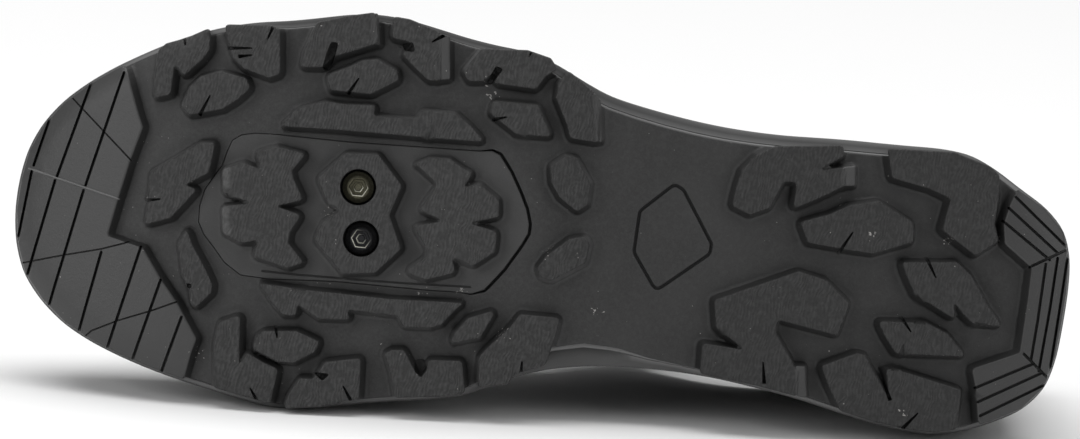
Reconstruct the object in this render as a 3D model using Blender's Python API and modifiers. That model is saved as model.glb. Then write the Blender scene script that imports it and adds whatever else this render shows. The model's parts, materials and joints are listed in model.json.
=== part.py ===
"""A left cycling shoe, modelled standing on its sole and then laid on its inner side.

Lengths are metres. While it is modelled the toe is towards -X, the inner side towards +Y
and the sole faces down. The shape of the sole is kept as a drawing, the tread sheet, whose
own units are turned into shares of the sole's length and of the width at the ball.
"""

import math
from collections import namedtuple
from functools import lru_cache

import bmesh
import bpy
from mathutils import Matrix, Vector

# Sizes of the whole shoe
SOLE_LENGTH = 0.2868
BALL_WIDTH = 0.1104
TOE_SPRING = 0.021
TOE_CURVE = 1.9
TOE_BREAK = 0.270
WAIST_RISE = 0.003
WAIST_FRONT = 0.500
WAIST_BACK = 0.730
HEEL_LIFT = 0.002
HEEL_BREAK = 0.930

# Sizes of the sole's layers
GAP = 0.0003
LUG_HEIGHT = 0.0045
LUG_DRAFT = 0.0012
LUG_ROOT = 0.0012
BUMPER_HEIGHT = 0.0036
EDGE_ROLL = 0.0022
EDGE_ROLL_REACH = 0.0065
BASE_THICKNESS = 0.0036
FOREFOOT_MIDSOLE = 0.0060
HEEL_MIDSOLE = 0.0130
MIDSOLE_RISE_START = 0.42
MIDSOLE_RISE_END = 0.80
INSOLE_THICKNESS = 0.0035
INSOLE_ROUND = 0.0040
RIM_WIDTH = 0.0032
RIB_DEPTH = 0.0007

# Sizes of the cleat cover and its screws
BOLT_SPACING = 0.0140
BOLT_WELL_RADIUS = 0.0049
BOLT_WELL_DEPTH = 0.0056
COVER_THICKNESS = 0.0023
COVER_GROOVE = 0.0007
SCREW_HEAD_RADIUS = 0.0043
SCREW_HEAD_HEIGHT = 0.0024
SCREW_SHANK_RADIUS = 0.0024
SCREW_KEY_ACROSS = 0.0040
SCREW_KEY_DEPTH = 0.0015

# Sizes of the upper and what closes it
UPPER_WALL = 0.0020
UPPER_INSET = 0.0028
UPPER_EDGE_MARGIN = 0.0006
UPPER_EDGE_SOFTNESS = 0.0015
HEEL_HEIGHT = 0.076
ANKLE_HEIGHT = 0.058
INSTEP_HEIGHT = 0.083
TOE_HEIGHT = 0.034
TONGUE_WIDTH = 0.066
TONGUE_THICKNESS = 0.0035
TONGUE_RISE = 0.026
TONGUE_FRONT = 0.765
TONGUE_CLEARANCE = 0.0011
TONGUE_NARROWS = 0.62
TONGUE_TOP_TAPER = 0.05
TONGUE_BEHIND_THROAT = 0.012
STRAP_THICKNESS = 0.0018
STRAP_LIFT = 0.0008
STRAP_END_ROUND = 0.30

# How finely the curved pieces are divided
EDGE_STEPS = 40
UPPER_COLUMNS = 38
UPPER_ROWS = 8
BLOCK_STRIP = 0.012

# The tread sheet: a drawing of the sole, seen from below with the toe at the left
SHEET_TURN = math.radians(5.21)
SHEET_TOE = 32.2
SHEET_LENGTH = 1057.0
SHEET_AXIS = 202.0
SHEET_WIDTH = 407.0
SHEET_BOLT_MIDDLE = (359.5, 213.3)
SHEET_BOLT_LEAN = math.radians(3.3)

# The sole's edge on the sheet, from the heel's middle round the outer side to the toe and back
OUTER_EDGE = [
    (1070, 262), (1062, 226), (1041, 205), (1012, 185), (985, 163), (955, 152), (900, 147),
    (840, 141), (780, 137), (724, 129), (680, 119), (637, 107), (600, 94), (570, 74), (535, 55),
    (500, 48), (468, 40), (430, 28), (390, 17), (350, 16), (300, 22), (245, 25), (187, 38),
    (130, 61), (88, 83), (49, 114), (24, 155), (13, 210),
]
INNER_EDGE = [
    (14, 243), (25, 280), (60, 321), (104, 348), (160, 372), (210, 388), (283, 409), (330, 405),
    (380, 400), (430, 398), (464, 394), (515, 375), (560, 366), (620, 365), (690, 372), (740, 382),
    (800, 398), (870, 421), (935, 434), (990, 422), (1030, 404), (1051, 375), (1064, 315),
]

# How far the outsole's edge stands inside the sole's edge, as shares of RIM_WIDTH: the place
# along the sole, then the outer and the inner side
EdgeStep = namedtuple("EdgeStep", "along outer inner")
OUTSOLE_STEPS = [
    EdgeStep(0.00, 0.25, 0.25), EdgeStep(0.17, 0.25, 0.25), EdgeStep(0.26, 0.53, 0.25),
    EdgeStep(0.38, 0.47, 0.25), EdgeStep(0.46, 0.53, 0.53), EdgeStep(0.50, 0.70, 1.38),
    EdgeStep(0.56, 0.94, 1.75), EdgeStep(0.62, 1.00, 0.63), EdgeStep(0.70, 0.94, 0.28),
    EdgeStep(0.85, 0.81, 0.25), EdgeStep(0.93, 0.28, 0.25), EdgeStep(1.00, 0.25, 0.25),
]

# The midsole's side from bottom to top: how far in it stands, as a share of RIB_DEPTH, and
# the place as a share of the height
MIDSOLE_SIDE = [
    (8.6, 0.00), (2.0, 0.00), (0.6, 0.14), (0.6, 0.34), (1.6, 0.40),
    (1.6, 0.46), (0.6, 0.52), (0.9, 0.84), (2.0, 1.00), (8.6, 1.00),
]

# Lugs of the outsole on the sheet, each by the outline of its ground face
LUGS = {
    "outer_claw_1": [(157, 50), (154, 75), (153, 98), (170, 94), (174, 63), (183, 76), (202, 59),
                     (209, 50), (210, 27), (187, 37), (165, 43)],
    "outer_claw_2": [(224, 24), (229, 46), (233, 58), (243, 68), (269, 78), (280, 74), (280, 29),
                     (270, 25)],
    "outer_claw_3": [(317, 22), (303, 52), (300, 67), (323, 67), (335, 56), (350, 52), (378, 43),
                     (376, 12), (345, 16)],
    "outer_claw_4": [(393, 16), (410, 19), (441, 32), (441, 81), (428, 80), (415, 68), (402, 54),
                     (412, 42), (392, 38)],
    "outer_claw_5": [(463, 71), (482, 48), (528, 50), (551, 58), (558, 69), (546, 76), (536, 89),
                     (494, 83), (500, 70), (483, 81), (468, 81)],
    "outer_claw_6": [(558, 84), (568, 70), (593, 91), (599, 98), (599, 143), (570, 138), (567, 125),
                     (556, 98)],
    "outer_bar": [(279, 126), (300, 108), (325, 101), (345, 104), (376, 105), (373, 116), (416, 118),
                  (422, 110), (456, 113), (470, 125), (485, 142), (420, 137), (340, 130)],
    "outer_corner": [(490, 113), (493, 101), (538, 105), (552, 137), (516, 134), (497, 119)],
    "outer_arrow": [(215, 142), (211, 162), (208, 173), (184, 185), (197, 189), (188, 199), (170, 218),
                    (143, 225), (147, 200), (149, 172), (170, 160), (200, 142)],
    "inner_arrow": [(186, 228), (192, 245), (205, 269), (212, 285), (211, 293), (195, 308), (190, 303),
                    (189, 290), (181, 274), (177, 243)],
    "waist_diamond": [(550, 166), (566, 155), (577, 158), (591, 184), (588, 205), (577, 212),
                      (559, 197), (551, 182)],
    "waist_wedge": [(537, 268), (546, 256), (569, 239), (586, 236), (590, 244), (586, 263), (551, 281),
                    (540, 277)],
    "inner_bar": [(258, 283), (307, 290), (391, 299), (464, 303), (454, 311), (441, 325), (430, 328),
                  (403, 327), (397, 316), (347, 310), (350, 320), (318, 319), (297, 304), (296, 316),
                  (282, 315), (271, 302)],
    "inner_corner": [(450, 343), (455, 332), (468, 318), (492, 311), (494, 315), (480, 338),
                     (460, 342)],
    "inner_claw_1": [(218, 322), (240, 315), (239, 366), (246, 352), (262, 362), (278, 369),
                     (270, 404), (256, 400), (213, 388), (213, 345)],
    "inner_claw_2": [(299, 378), (313, 379), (325, 362), (361, 358), (359, 399), (320, 407), (283, 409),
                     (288, 395)],
    "inner_claw_3": [(384, 354), (391, 350), (404, 350), (412, 366), (420, 378), (427, 370), (428, 360),
                     (462, 361), (465, 394), (440, 397), (394, 398), (390, 372)],
    "inner_claw_4": [(478, 389), (479, 357), (485, 350), (510, 327), (520, 314), (560, 318), (556, 335),
                     (545, 366), (515, 374), (507, 385), (492, 386)],
    "heel_outer_front": [(757, 155), (775, 146), (843, 145), (845, 156), (819, 170), (845, 167),
                         (845, 186), (820, 198), (793, 209), (797, 182), (784, 182), (770, 208),
                         (750, 215), (732, 206), (737, 185), (742, 170)],
    "heel_inner_front": [(714, 300), (760, 284), (799, 271), (826, 280), (850, 303), (838, 336),
                         (778, 320), (776, 333), (790, 358), (798, 372), (798, 397), (757, 386),
                         (700, 374), (702, 343), (745, 350), (716, 328)],
    "heel_inner_back": [(821, 366), (857, 353), (866, 355), (871, 366), (889, 399), (886, 368),
                        (905, 372), (962, 390), (957, 430), (935, 433), (903, 429), (870, 421),
                        (840, 411), (828, 385)],
    "heel_outer_back": [(888, 148), (955, 152), (975, 160), (990, 166), (1000, 175), (999, 200),
                        (995, 224), (999, 241), (976, 256), (942, 230), (951, 199), (930, 189),
                        (892, 178)],
}

PADS = {
    "outer_pad_1": [(189, 86), (200, 76), (221, 71), (246, 78), (250, 88), (238, 99), (222, 109),
                    (188, 115), (180, 105)],
    "outer_pad_2": [(326, 75), (350, 66), (362, 60), (377, 59), (397, 70), (399, 80), (371, 94),
                    (351, 92), (330, 90)],
    "inner_pad": [(252, 349), (256, 336), (263, 331), (296, 331), (320, 342), (315, 352), (294, 363),
                  (277, 362)],
    "heel_outer_pad": [(800, 222), (830, 214), (850, 205), (879, 201), (914, 223), (914, 242), (873, 254),
                       (848, 250), (808, 243)],
    "heel_back_pad": [(902, 262), (957, 262), (972, 276), (989, 307), (1003, 327), (973, 324),
                      (962, 313), (954, 302), (956, 320), (915, 295), (905, 272)],
    "heel_middle_pad": [(878, 321), (927, 323), (948, 334), (967, 357), (896, 354), (884, 335)],
}

# Bumpers that wrap the toe and the heel, each by its inner edge on the sheet. The rest of
# its outline is the sole's edge.
BUMPERS = {
    "toe": [(124, 64), (127, 80), (142, 127), (129, 161), (117, 199), (106, 236), (142, 248), (160, 279),
            (176, 302), (196, 339), (191, 352), (183, 380)],
    "heel": [(978, 424), (976, 390), (972, 369), (1020, 353), (1028, 300), (1032, 268), (1005, 244),
             (1004, 224), (1011, 203), (1018, 190)],
}

# The cleat cover, its two star lugs and the paired hexagon bosses, on the sheet
COVER_EDGE = [
    (500, 155), (520, 193), (529, 224), (521, 245), (484, 290), (455, 292), (400, 288), (340, 282),
    (300, 280), (240, 275), (213, 247), (198, 222), (204, 190), (222, 165), (232, 140), (255, 133),
    (300, 137), (350, 142), (425, 148), (480, 151),
]
COVER_LUGS = {
    "star_front": [(222, 169), (243, 162), (261, 170), (255, 152), (276, 146), (306, 154), (292, 170),
                   (293, 178), (303, 200), (275, 206), (301, 215), (290, 232), (288, 243), (304, 263),
                   (287, 268), (251, 256), (260, 240), (240, 243), (222, 233), (221, 206), (252, 203),
                   (222, 193)],
    "star_back": [(414, 164), (430, 158), (450, 159), (464, 169), (473, 173), (463, 188), (480, 184),
                  (499, 200), (499, 217), (469, 223), (497, 232), (495, 252), (473, 266), (452, 257),
                  (455, 273), (425, 280), (405, 272), (426, 256), (426, 248), (413, 226), (443, 221),
                  (419, 210), (437, 184), (420, 168)],
    "bosses": [(317, 178), (346, 153), (378, 154), (402, 186), (389, 215), (401, 249), (375, 273),
               (342, 274), (314, 240), (322, 222), (340, 211), (325, 198)],
}

# Sections of the upper from the heel's middle to the toe's middle. round: share of the way
# along the lower edge. along, centre, spread: the upper end of the section on the sole's
# length and the ball's width. height: its share of the size beside it. bulge: share of the
# ball's width. upright and drop: shares of the height. reach: share of the width covered.
Section = namedtuple("Section", "round along centre spread size height bulge upright reach drop")
UPPER_SECTIONS = [
    Section(0.000, 0.970, 0.005, 0.000, HEEL_HEIGHT, 1.00, 0.045, 0.40, 0.10, 0.35),
    Section(0.055, 0.955, 0.006, 0.120, HEEL_HEIGHT, 0.99, 0.045, 0.40, 0.10, 0.35),
    Section(0.105, 0.918, 0.008, 0.205, HEEL_HEIGHT, 0.95, 0.040, 0.40, 0.10, 0.35),
    Section(0.160, 0.865, 0.009, 0.250, HEEL_HEIGHT, 0.87, 0.034, 0.40, 0.10, 0.35),
    Section(0.225, 0.800, 0.010, 0.272, ANKLE_HEIGHT, 1.04, 0.030, 0.40, 0.10, 0.35),
    Section(0.290, 0.735, 0.010, 0.275, ANKLE_HEIGHT, 1.00, 0.030, 0.40, 0.10, 0.35),
    Section(0.350, 0.675, 0.014, 0.255, ANKLE_HEIGHT, 1.06, 0.034, 0.40, 0.20, 0.32),
    Section(0.395, 0.632, 0.020, 0.215, INSTEP_HEIGHT, 0.87, 0.038, 0.42, 0.30, 0.28),
    Section(0.430, 0.592, 0.028, 0.165, INSTEP_HEIGHT, 1.00, 0.040, 0.43, 0.38, 0.24),
    Section(0.500, 0.520, 0.034, 0.125, INSTEP_HEIGHT, 0.92, 0.040, 0.45, 0.45, 0.18),
    Section(0.570, 0.440, 0.034, 0.108, INSTEP_HEIGHT, 0.79, 0.038, 0.48, 0.50, 0.14),
    Section(0.640, 0.358, 0.030, 0.090, INSTEP_HEIGHT, 0.66, 0.032, 0.52, 0.56, 0.10),
    Section(0.685, 0.302, 0.026, 0.060, INSTEP_HEIGHT, 0.585, 0.030, 0.54, 0.60, 0.06),
    Section(0.710, 0.270, 0.022, 0.000, INSTEP_HEIGHT, 0.545, 0.030, 0.55, 0.62, 0.03),
    Section(0.765, 0.205, 0.015, 0.000, TOE_HEIGHT, 1.14, 0.028, 0.58, 0.62, 0.01),
    Section(0.840, 0.135, 0.010, 0.000, TOE_HEIGHT, 0.98, 0.026, 0.60, 0.60, 0.00),
    Section(0.920, 0.085, 0.010, 0.000, TOE_HEIGHT, 0.87, 0.024, 0.62, 0.56, 0.03),
    Section(1.000, 0.055, 0.012, 0.000, TOE_HEIGHT, 0.77, 0.022, 0.64, 0.52, 0.10),
]
THROAT_END = UPPER_SECTIONS[13].round
THROAT_TOP = UPPER_SECTIONS[8].round

# Straps: middle of the strap along the upper, its width, and its reach to each side
Strap = namedtuple("Strap", "name middle width inner outer")
STRAPS = [
    Strap("strap_lower", 0.640, 0.021, 0.022, 0.044),
    Strap("strap_middle", 0.555, 0.021, 0.025, 0.052),
    Strap("strap_upper", 0.468, 0.027, 0.029, 0.062),
]

# Density of each piece, for finding the side that it comes to rest on
DENSITIES = {"outsole": 1150, "cleat_cover": 1150, "midsole": 600, "upper": 900, "insole": 250}
OTHER_DENSITY = 700


def clear_scene():
    for obj in list(bpy.data.objects):
        bpy.data.objects.remove(obj, do_unlink=True)


def new_collection(name):
    collection = bpy.data.collections.new(name)
    bpy.context.scene.collection.children.link(collection)
    return collection


def new_material(name, colour, roughness, metallic=0.0):
    material = bpy.data.materials.new(name)
    material.use_nodes = True
    shader = material.node_tree.nodes["Principled BSDF"]
    shader.inputs["Base Color"].default_value = (*colour, 1.0)
    shader.inputs["Roughness"].default_value = roughness
    shader.inputs["Metallic"].default_value = metallic
    return material


def mesh_object(name, bm, collection, material=None):
    """Turns the mesh being edited into an object, with its faces pointing out."""
    bmesh.ops.recalc_face_normals(bm, faces=bm.faces)
    mesh = bpy.data.meshes.new(name)
    bm.to_mesh(mesh)
    bm.free()
    obj = bpy.data.objects.new(name, mesh)
    collection.objects.link(obj)
    if material:
        mesh.materials.append(material)
    return obj


def as_cutter(obj):
    obj.hide_render = True
    obj.display_type = "WIRE"
    return obj


def join_or_cut(obj, other, operation):
    modifier = obj.modifiers.new(f"{operation.lower()}_{other.name}", "BOOLEAN")
    modifier.operation = operation
    modifier.solver = "EXACT"
    modifier.object = other


def smooth_edges(obj, degrees):
    obj.data.shade_smooth()
    obj.data.set_sharp_from_angle(angle=math.radians(degrees))


def on_sole(place):
    """The place on the standing shoe of a point of the tread sheet."""
    x, y = place
    forward = x * math.cos(SHEET_TURN) + y * math.sin(SHEET_TURN)
    across = y * math.cos(SHEET_TURN) - x * math.sin(SHEET_TURN)
    along = (forward - SHEET_TOE) / SHEET_LENGTH
    return Vector(((along - 0.5) * SOLE_LENGTH, (across - SHEET_AXIS) / SHEET_WIDTH * BALL_WIDTH))


def along_of(x):
    return x / SOLE_LENGTH + 0.5


def blend(a, b, share):
    return a + (b - a) * share


def ease(share):
    share = min(1.0, max(0.0, share))
    return share * share * (3 - 2 * share)


def through(values, places, place):
    """A smooth value at a place, from values known at rising places."""
    last = len(places) - 1
    i = max(0, min(last - 1, sum(1 for p in places if p <= place) - 1))
    t = (place - places[i]) / (places[i + 1] - places[i])

    def slope(k):
        low, high = max(0, k - 1), min(last, k + 1)
        return (values[high] - values[low]) / (places[high] - places[low])

    width = places[i + 1] - places[i]
    a, b = values[i], values[i + 1]
    return (
        a * (2 * t**3 - 3 * t**2 + 1) + slope(i) * width * (t**3 - 2 * t**2 + t)
        + b * (3 * t**2 - 2 * t**3) + slope(i + 1) * width * (t**3 - t**2)
    )


def rounded_loop(corners, steps):
    """A closed smooth curve through the corners, as points."""
    count = len(corners)
    points = []
    for i in range(count):
        a, b, c, d = (corners[(i + k) % count] for k in (-1, 0, 1, 2))
        for step in range(steps):
            t = step / steps
            points.append(
                0.5 * (2 * b + (c - a) * t + (2 * a - 5 * b + 4 * c - d) * t * t
                       + (3 * b - a - 3 * c + d) * t**3)
            )
    return points


def spaced(points, count):
    """The same line as points at even distances."""
    lengths = [0.0]
    for a, b in zip(points, points[1:]):
        lengths.append(lengths[-1] + (b - a).length)
    return [point_at(points, lengths, lengths[-1] * k / count) for k in range(count + 1)]


def point_at(points, lengths, distance):
    i = max(0, min(len(points) - 2, sum(1 for d in lengths if d <= distance) - 1))
    run = max(lengths[i + 1] - lengths[i], 1e-9)
    return points[i].lerp(points[i + 1], min(1.0, max(0.0, (distance - lengths[i]) / run)))


EDGE_SPLIT = len(OUTER_EDGE) - 1
FINE_STEPS = 10
FINE_EDGE = rounded_loop([on_sole(p) for p in OUTER_EDGE + INNER_EDGE], FINE_STEPS)
OUTER_LINE = spaced(FINE_EDGE[: EDGE_SPLIT * FINE_STEPS + 1], EDGE_STEPS)
INNER_LINE = spaced(FINE_EDGE[EDGE_SPLIT * FINE_STEPS :] + FINE_EDGE[:1], EDGE_STEPS)
LOOP = OUTER_LINE[:-1] + INNER_LINE[:-1]


def loop_normal(i):
    run = LOOP[(i + 1) % len(LOOP)] - LOOP[i - 1]
    normal = Vector((run.y, -run.x)).normalized()
    return normal if turning > 0 else -normal


turning = sum(a.x * b.y - b.x * a.y for a, b in zip(LOOP, LOOP[1:] + LOOP[:1]))
NORMALS = [loop_normal(i) for i in range(len(LOOP))]


def inside_by(point):
    """How far a point is from the sole's edge."""
    nearest = 1.0
    for a, b in zip(LOOP, LOOP[1:] + LOOP[:1]):
        run = b - a
        share = min(1.0, max(0.0, (point - a).dot(run) / run.length_squared))
        nearest = min(nearest, (point - a - run * share).length)
    return nearest


def nearest_on_edge(point):
    """The stretch of the sole's edge nearest to a point, and the nearest place on it."""
    best = None
    for i, start in enumerate(LOOP):
        run = LOOP[(i + 1) % len(LOOP)] - start
        share = min(1.0, max(0.0, (point - start).dot(run) / run.length_squared))
        place = start + run * share
        if best is None or (place - point).length < best[0]:
            best = ((place - point).length, i, place)
    return best[1], best[2]


def closed_by_edge(points):
    """An outline made of the points and of the sole's edge between the last and the first."""
    start, start_place = nearest_on_edge(points[-1])
    end, end_place = nearest_on_edge(points[0])
    count = len(LOOP)
    forward = (end - start) % count
    if forward <= count - forward:
        between = [LOOP[(start + k) % count] for k in range(1, forward + 1)]
    else:
        between = [LOOP[(start - k) % count] for k in range(count - forward)]
    return [end_place] + points[1:-1] + [start_place] + between


def tread_level(x):
    """Height above the ground of the lugs' ground faces."""
    along = along_of(x)
    toe = max(0.0, (TOE_BREAK - along) / TOE_BREAK)
    waist = math.sin(math.pi * min(1.0, max(0.0, (along - WAIST_FRONT) / (WAIST_BACK - WAIST_FRONT))))
    heel = max(0.0, (along - HEEL_BREAK) / (1 - HEEL_BREAK))
    return TOE_SPRING * toe**TOE_CURVE + WAIST_RISE * waist**2 + HEEL_LIFT * heel**2


def edge_roll(x, distance):
    """How far the sole's face turns up beside its edge, at the toe and at the heel."""
    along = along_of(x)
    share = max(ease((TOE_BREAK - along) / TOE_BREAK * 2), ease((along - HEEL_BREAK) * 20) * 0.6)
    return EDGE_ROLL * share * max(0.0, 1 - distance / EDGE_ROLL_REACH) ** 2


def midsole_thickness(x):
    along = along_of(x)
    rise = ease((along - MIDSOLE_RISE_START) / (MIDSOLE_RISE_END - MIDSOLE_RISE_START))
    return blend(FOREFOOT_MIDSOLE, HEEL_MIDSOLE, rise)


def base_level(x):
    return tread_level(x) + LUG_HEIGHT


def midsole_level(x):
    return base_level(x) + BASE_THICKNESS + GAP


def seat_level(x):
    """Top of the midsole, which closes the upper underneath."""
    return midsole_level(x) + midsole_thickness(x)


def ring(inset, level):
    """The sole's edge moved in, each point at its own level."""
    points = []
    for i, (point, normal) in enumerate(zip(LOOP, NORMALS)):
        moved = point - normal * (inset(i) if callable(inset) else inset)
        points.append(Vector((moved.x, moved.y, level(moved.x))))
    return points


def plate(rings):
    """A closed plate from rings that run from the middle of one face round the side to the other."""
    bm = bmesh.new()
    made = [[bm.verts.new(p) for p in points] for points in rings]
    count = len(LOOP)
    for low, high in zip(made, made[1:]):
        for i in range(count):
            j = (i + 1) % count
            bm.faces.new((low[i], low[j], high[j], high[i]))
    for points in (made[0], made[-1]):
        for i in range(EDGE_STEPS):
            corners = (points[i], points[i + 1], points[count - i - 1], points[-i % count])
            bm.faces.new(list(dict.fromkeys(corners)))
    return bm


def grown(outline, distance):
    """An outline with each corner moved out, but not past the sole's edge."""
    area = sum(a.x * b.y - b.x * a.y for a, b in zip(outline, outline[1:] + outline[:1]))
    side = 1 if area > 0 else -1
    moved = []
    for i, point in enumerate(outline):
        before = (point - outline[i - 1]).normalized()
        after = (outline[(i + 1) % len(outline)] - point).normalized()
        first, second = (Vector((run.y, -run.x)) * side for run in (before, after))
        out = (first + second).normalized()
        room = min(distance, inside_by(point)) if distance > 0 else distance
        moved.append(point + out * room / max(0.6, out.dot(first)))
    return moved


def add_block(bm, outline, draft, low, high, strip=BLOCK_STRIP, both_ways=False):
    """Adds a prism with sloping sides, whose faces follow the levels low and high."""
    block = bmesh.new()
    bottom = [block.verts.new((p.x, p.y, 0.0)) for p in outline]
    top = [block.verts.new((p.x, p.y, 1.0)) for p in grown(outline, draft)]
    block.faces.new(bottom)
    block.faces.new(list(reversed(top)))
    for i in range(len(outline)):
        j = (i + 1) % len(outline)
        block.faces.new((bottom[j], bottom[i], top[i], top[j]))
    for axis in (0, 1) if both_ways else (0,):
        values = [v.co[axis] for v in block.verts]
        start, end = min(values), max(values)
        cuts = int((end - start) / strip)
        direction = Vector((1 - axis, axis, 0))
        for k in range(1, cuts + 1):
            place = direction * blend(start, end, k / (cuts + 1))
            curved = axis == 1 or along_of(place.x) < TOE_BREAK or along_of(place.x) > HEEL_BREAK
            if curved:
                parts = block.verts[:] + block.edges[:] + block.faces[:]
                bmesh.ops.bisect_plane(block, geom=parts, dist=1e-6, plane_co=place, plane_no=direction)
    for vert in block.verts:
        distance = inside_by(vert.co.xy)
        vert.co.z = blend(low(vert.co.x, distance), high(vert.co.x, distance), vert.co.z)
    bmesh.ops.recalc_face_normals(block, faces=block.faces)
    mesh = bpy.data.meshes.new("block")
    block.to_mesh(mesh)
    block.free()
    bm.from_mesh(mesh)
    bpy.data.meshes.remove(mesh)


def tread_face(x, distance):
    return tread_level(x) + edge_roll(x, distance)


def bumper_face(x, distance):
    return tread_face(x, distance) + LUG_HEIGHT - BUMPER_HEIGHT


def lug_root(x, distance):
    return base_level(x) + edge_roll(x, distance) + LUG_ROOT


def add_cylinder(bm, middle, radius, low, high, sides=24):
    matrix = Matrix.Translation((middle.x, middle.y, (low + high) / 2))
    bmesh.ops.create_cone(bm, cap_ends=True, segments=sides, radius1=radius, radius2=radius,
                          depth=high - low, matrix=matrix)


def outsole_inset(i):
    side = "outer" if i <= EDGE_STEPS else "inner"
    places = [step.along for step in OUTSOLE_STEPS]
    values = [getattr(step, side) for step in OUTSOLE_STEPS]
    return RIM_WIDTH * max(0.0, through(values, places, min(1.0, max(0.0, along_of(LOOP[i].x)))))


def build_outsole(parts, cutters, material):
    inner = EDGE_ROLL_REACH
    half = EDGE_ROLL_REACH * 0.35
    shape = [(inner, 0.0), (half, 0.0), (0.0, 0.0), (0.0, 1.0), (inner, 1.0)]
    rings = []
    for inset, share in shape:
        roll = (1 - share) if inset < inner else 0.0
        rings.append(ring(
            lambda i, inset=inset: outsole_inset(i) + inset,
            lambda x, inset=inset, share=share, roll=roll:
                base_level(x) + BASE_THICKNESS * share + edge_roll(x, inset) * roll,
        ))
    outsole = mesh_object("outsole", plate(rings), parts, material)
    for name, outlines in (("tread_lugs", LUGS), ("tread_pads", PADS)):
        blocks = bmesh.new()
        for outline in outlines.values():
            add_block(blocks, [on_sole(p) for p in outline], LUG_DRAFT, tread_face, lug_root)
        join_or_cut(outsole, as_cutter(mesh_object(name, blocks, cutters)), "UNION")
    blocks = bmesh.new()
    for inner_edge in BUMPERS.values():
        outline = closed_by_edge([on_sole(p) for p in inner_edge])
        add_block(blocks, outline, LUG_DRAFT, bumper_face, lug_root, both_ways=True)
    join_or_cut(outsole, as_cutter(mesh_object("tread_bumpers", blocks, cutters)), "UNION")
    pocket = bmesh.new()
    edge = grown(rounded_loop([on_sole(p) for p in COVER_EDGE], 2), COVER_GROOVE)
    add_block(pocket, edge, 0.0, lambda x, d: tread_level(x),
              lambda x, d: base_level(x) + COVER_THICKNESS + GAP)
    join_or_cut(outsole, as_cutter(mesh_object("cover_pocket", pocket, cutters)), "DIFFERENCE")


def bolt_places():
    middle = on_sole(SHEET_BOLT_MIDDLE)
    lean = SHEET_BOLT_LEAN + SHEET_TURN
    half = Vector((math.sin(lean), math.cos(lean))) * BOLT_SPACING / 2
    return {"cover_screw_outer": middle - half, "cover_screw_inner": middle + half}


def build_cover(parts, cutters, material):
    body = bmesh.new()
    edge = rounded_loop([on_sole(p) for p in COVER_EDGE], 2)
    add_block(body, edge, 0.0, lambda x, d: base_level(x), lambda x, d: base_level(x) + COVER_THICKNESS)
    cover = mesh_object("cleat_cover", body, parts, material)
    blocks = bmesh.new()
    for outline in COVER_LUGS.values():
        add_block(blocks, [on_sole(p) for p in outline], LUG_DRAFT, tread_face, lug_root)
    join_or_cut(cover, as_cutter(mesh_object("cover_blocks", blocks, cutters)), "UNION")
    wells = bmesh.new()
    for place in bolt_places().values():
        seat = tread_level(place.x) + BOLT_WELL_DEPTH
        back = base_level(place.x) + COVER_THICKNESS + 2 * GAP
        add_cylinder(wells, place, BOLT_WELL_RADIUS, tread_level(place.x) - GAP, seat)
        add_cylinder(wells, place, SCREW_SHANK_RADIUS + GAP, seat - GAP, back, sides=16)
    join_or_cut(cover, as_cutter(mesh_object("bolt_wells", wells, cutters)), "DIFFERENCE")
    cover.modifiers[-1].use_self = True


def build_screws(parts, cutters, material):
    for name, place in bolt_places().items():
        seat = tread_level(place.x) + BOLT_WELL_DEPTH - GAP
        back = base_level(place.x) + COVER_THICKNESS
        face = seat - SCREW_HEAD_HEIGHT
        bm = bmesh.new()
        add_cylinder(bm, place, SCREW_HEAD_RADIUS, face, seat)
        screw = mesh_object(name, bm, parts, material)
        shank = bmesh.new()
        add_cylinder(shank, place, SCREW_SHANK_RADIUS, seat - GAP, back, sides=16)
        join_or_cut(screw, as_cutter(mesh_object(f"{name}_shank", shank, cutters)), "UNION")
        key = bmesh.new()
        add_cylinder(key, place, SCREW_KEY_ACROSS / math.sqrt(3), face - GAP, face + SCREW_KEY_DEPTH, sides=6)
        join_or_cut(screw, as_cutter(mesh_object(f"{name}_key", key, cutters)), "DIFFERENCE")


def build_midsole(parts, material):
    rings = []
    for inset, share in MIDSOLE_SIDE:
        rings.append(ring(
            inset * RIB_DEPTH,
            lambda x, share=share: midsole_level(x) + midsole_thickness(x) * share,
        ))
    return mesh_object("midsole", plate(rings), parts, material)


def build_insole(parts, material):
    edge = UPPER_INSET + UPPER_WALL + 3 * GAP
    rings = []
    for inward, share in ((1.0, 0.0), (0.15, 0.0), (0.0, 0.25), (0.0, 0.8), (0.2, 1.0), (1.0, 0.9)):
        rings.append(ring(
            edge + inward * INSOLE_ROUND,
            lambda x, share=share: seat_level(x) + GAP + INSOLE_THICKNESS * share,
        ))
    return mesh_object("insole", plate(rings), parts, material)


SIDES = {"outer": -1, "inner": 1}


def lower_edge(side, share):
    """Point and outward direction where the upper meets the midsole."""
    if side == "outer":
        order = list(range(EDGE_STEPS + 1))
    else:
        order = [-k % len(LOOP) for k in range(EDGE_STEPS + 1)]
    place = share * EDGE_STEPS
    i = min(EDGE_STEPS - 1, int(place))
    a, b, t = order[i], order[i + 1], place - i
    normal = NORMALS[a].lerp(NORMALS[b], t).normalized()
    point = LOOP[a].lerp(LOOP[b], t) - normal * UPPER_INSET
    return Vector((point.x, point.y, seat_level(point.x) + GAP)), Vector((normal.x, normal.y, 0.0))


ROUNDS = [section.round for section in UPPER_SECTIONS]


def section_value(name, place):
    return through([getattr(section, name) for section in UPPER_SECTIONS], ROUNDS, place)


def section_height(place):
    return through([section.size * section.height for section in UPPER_SECTIONS], ROUNDS, place)


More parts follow.
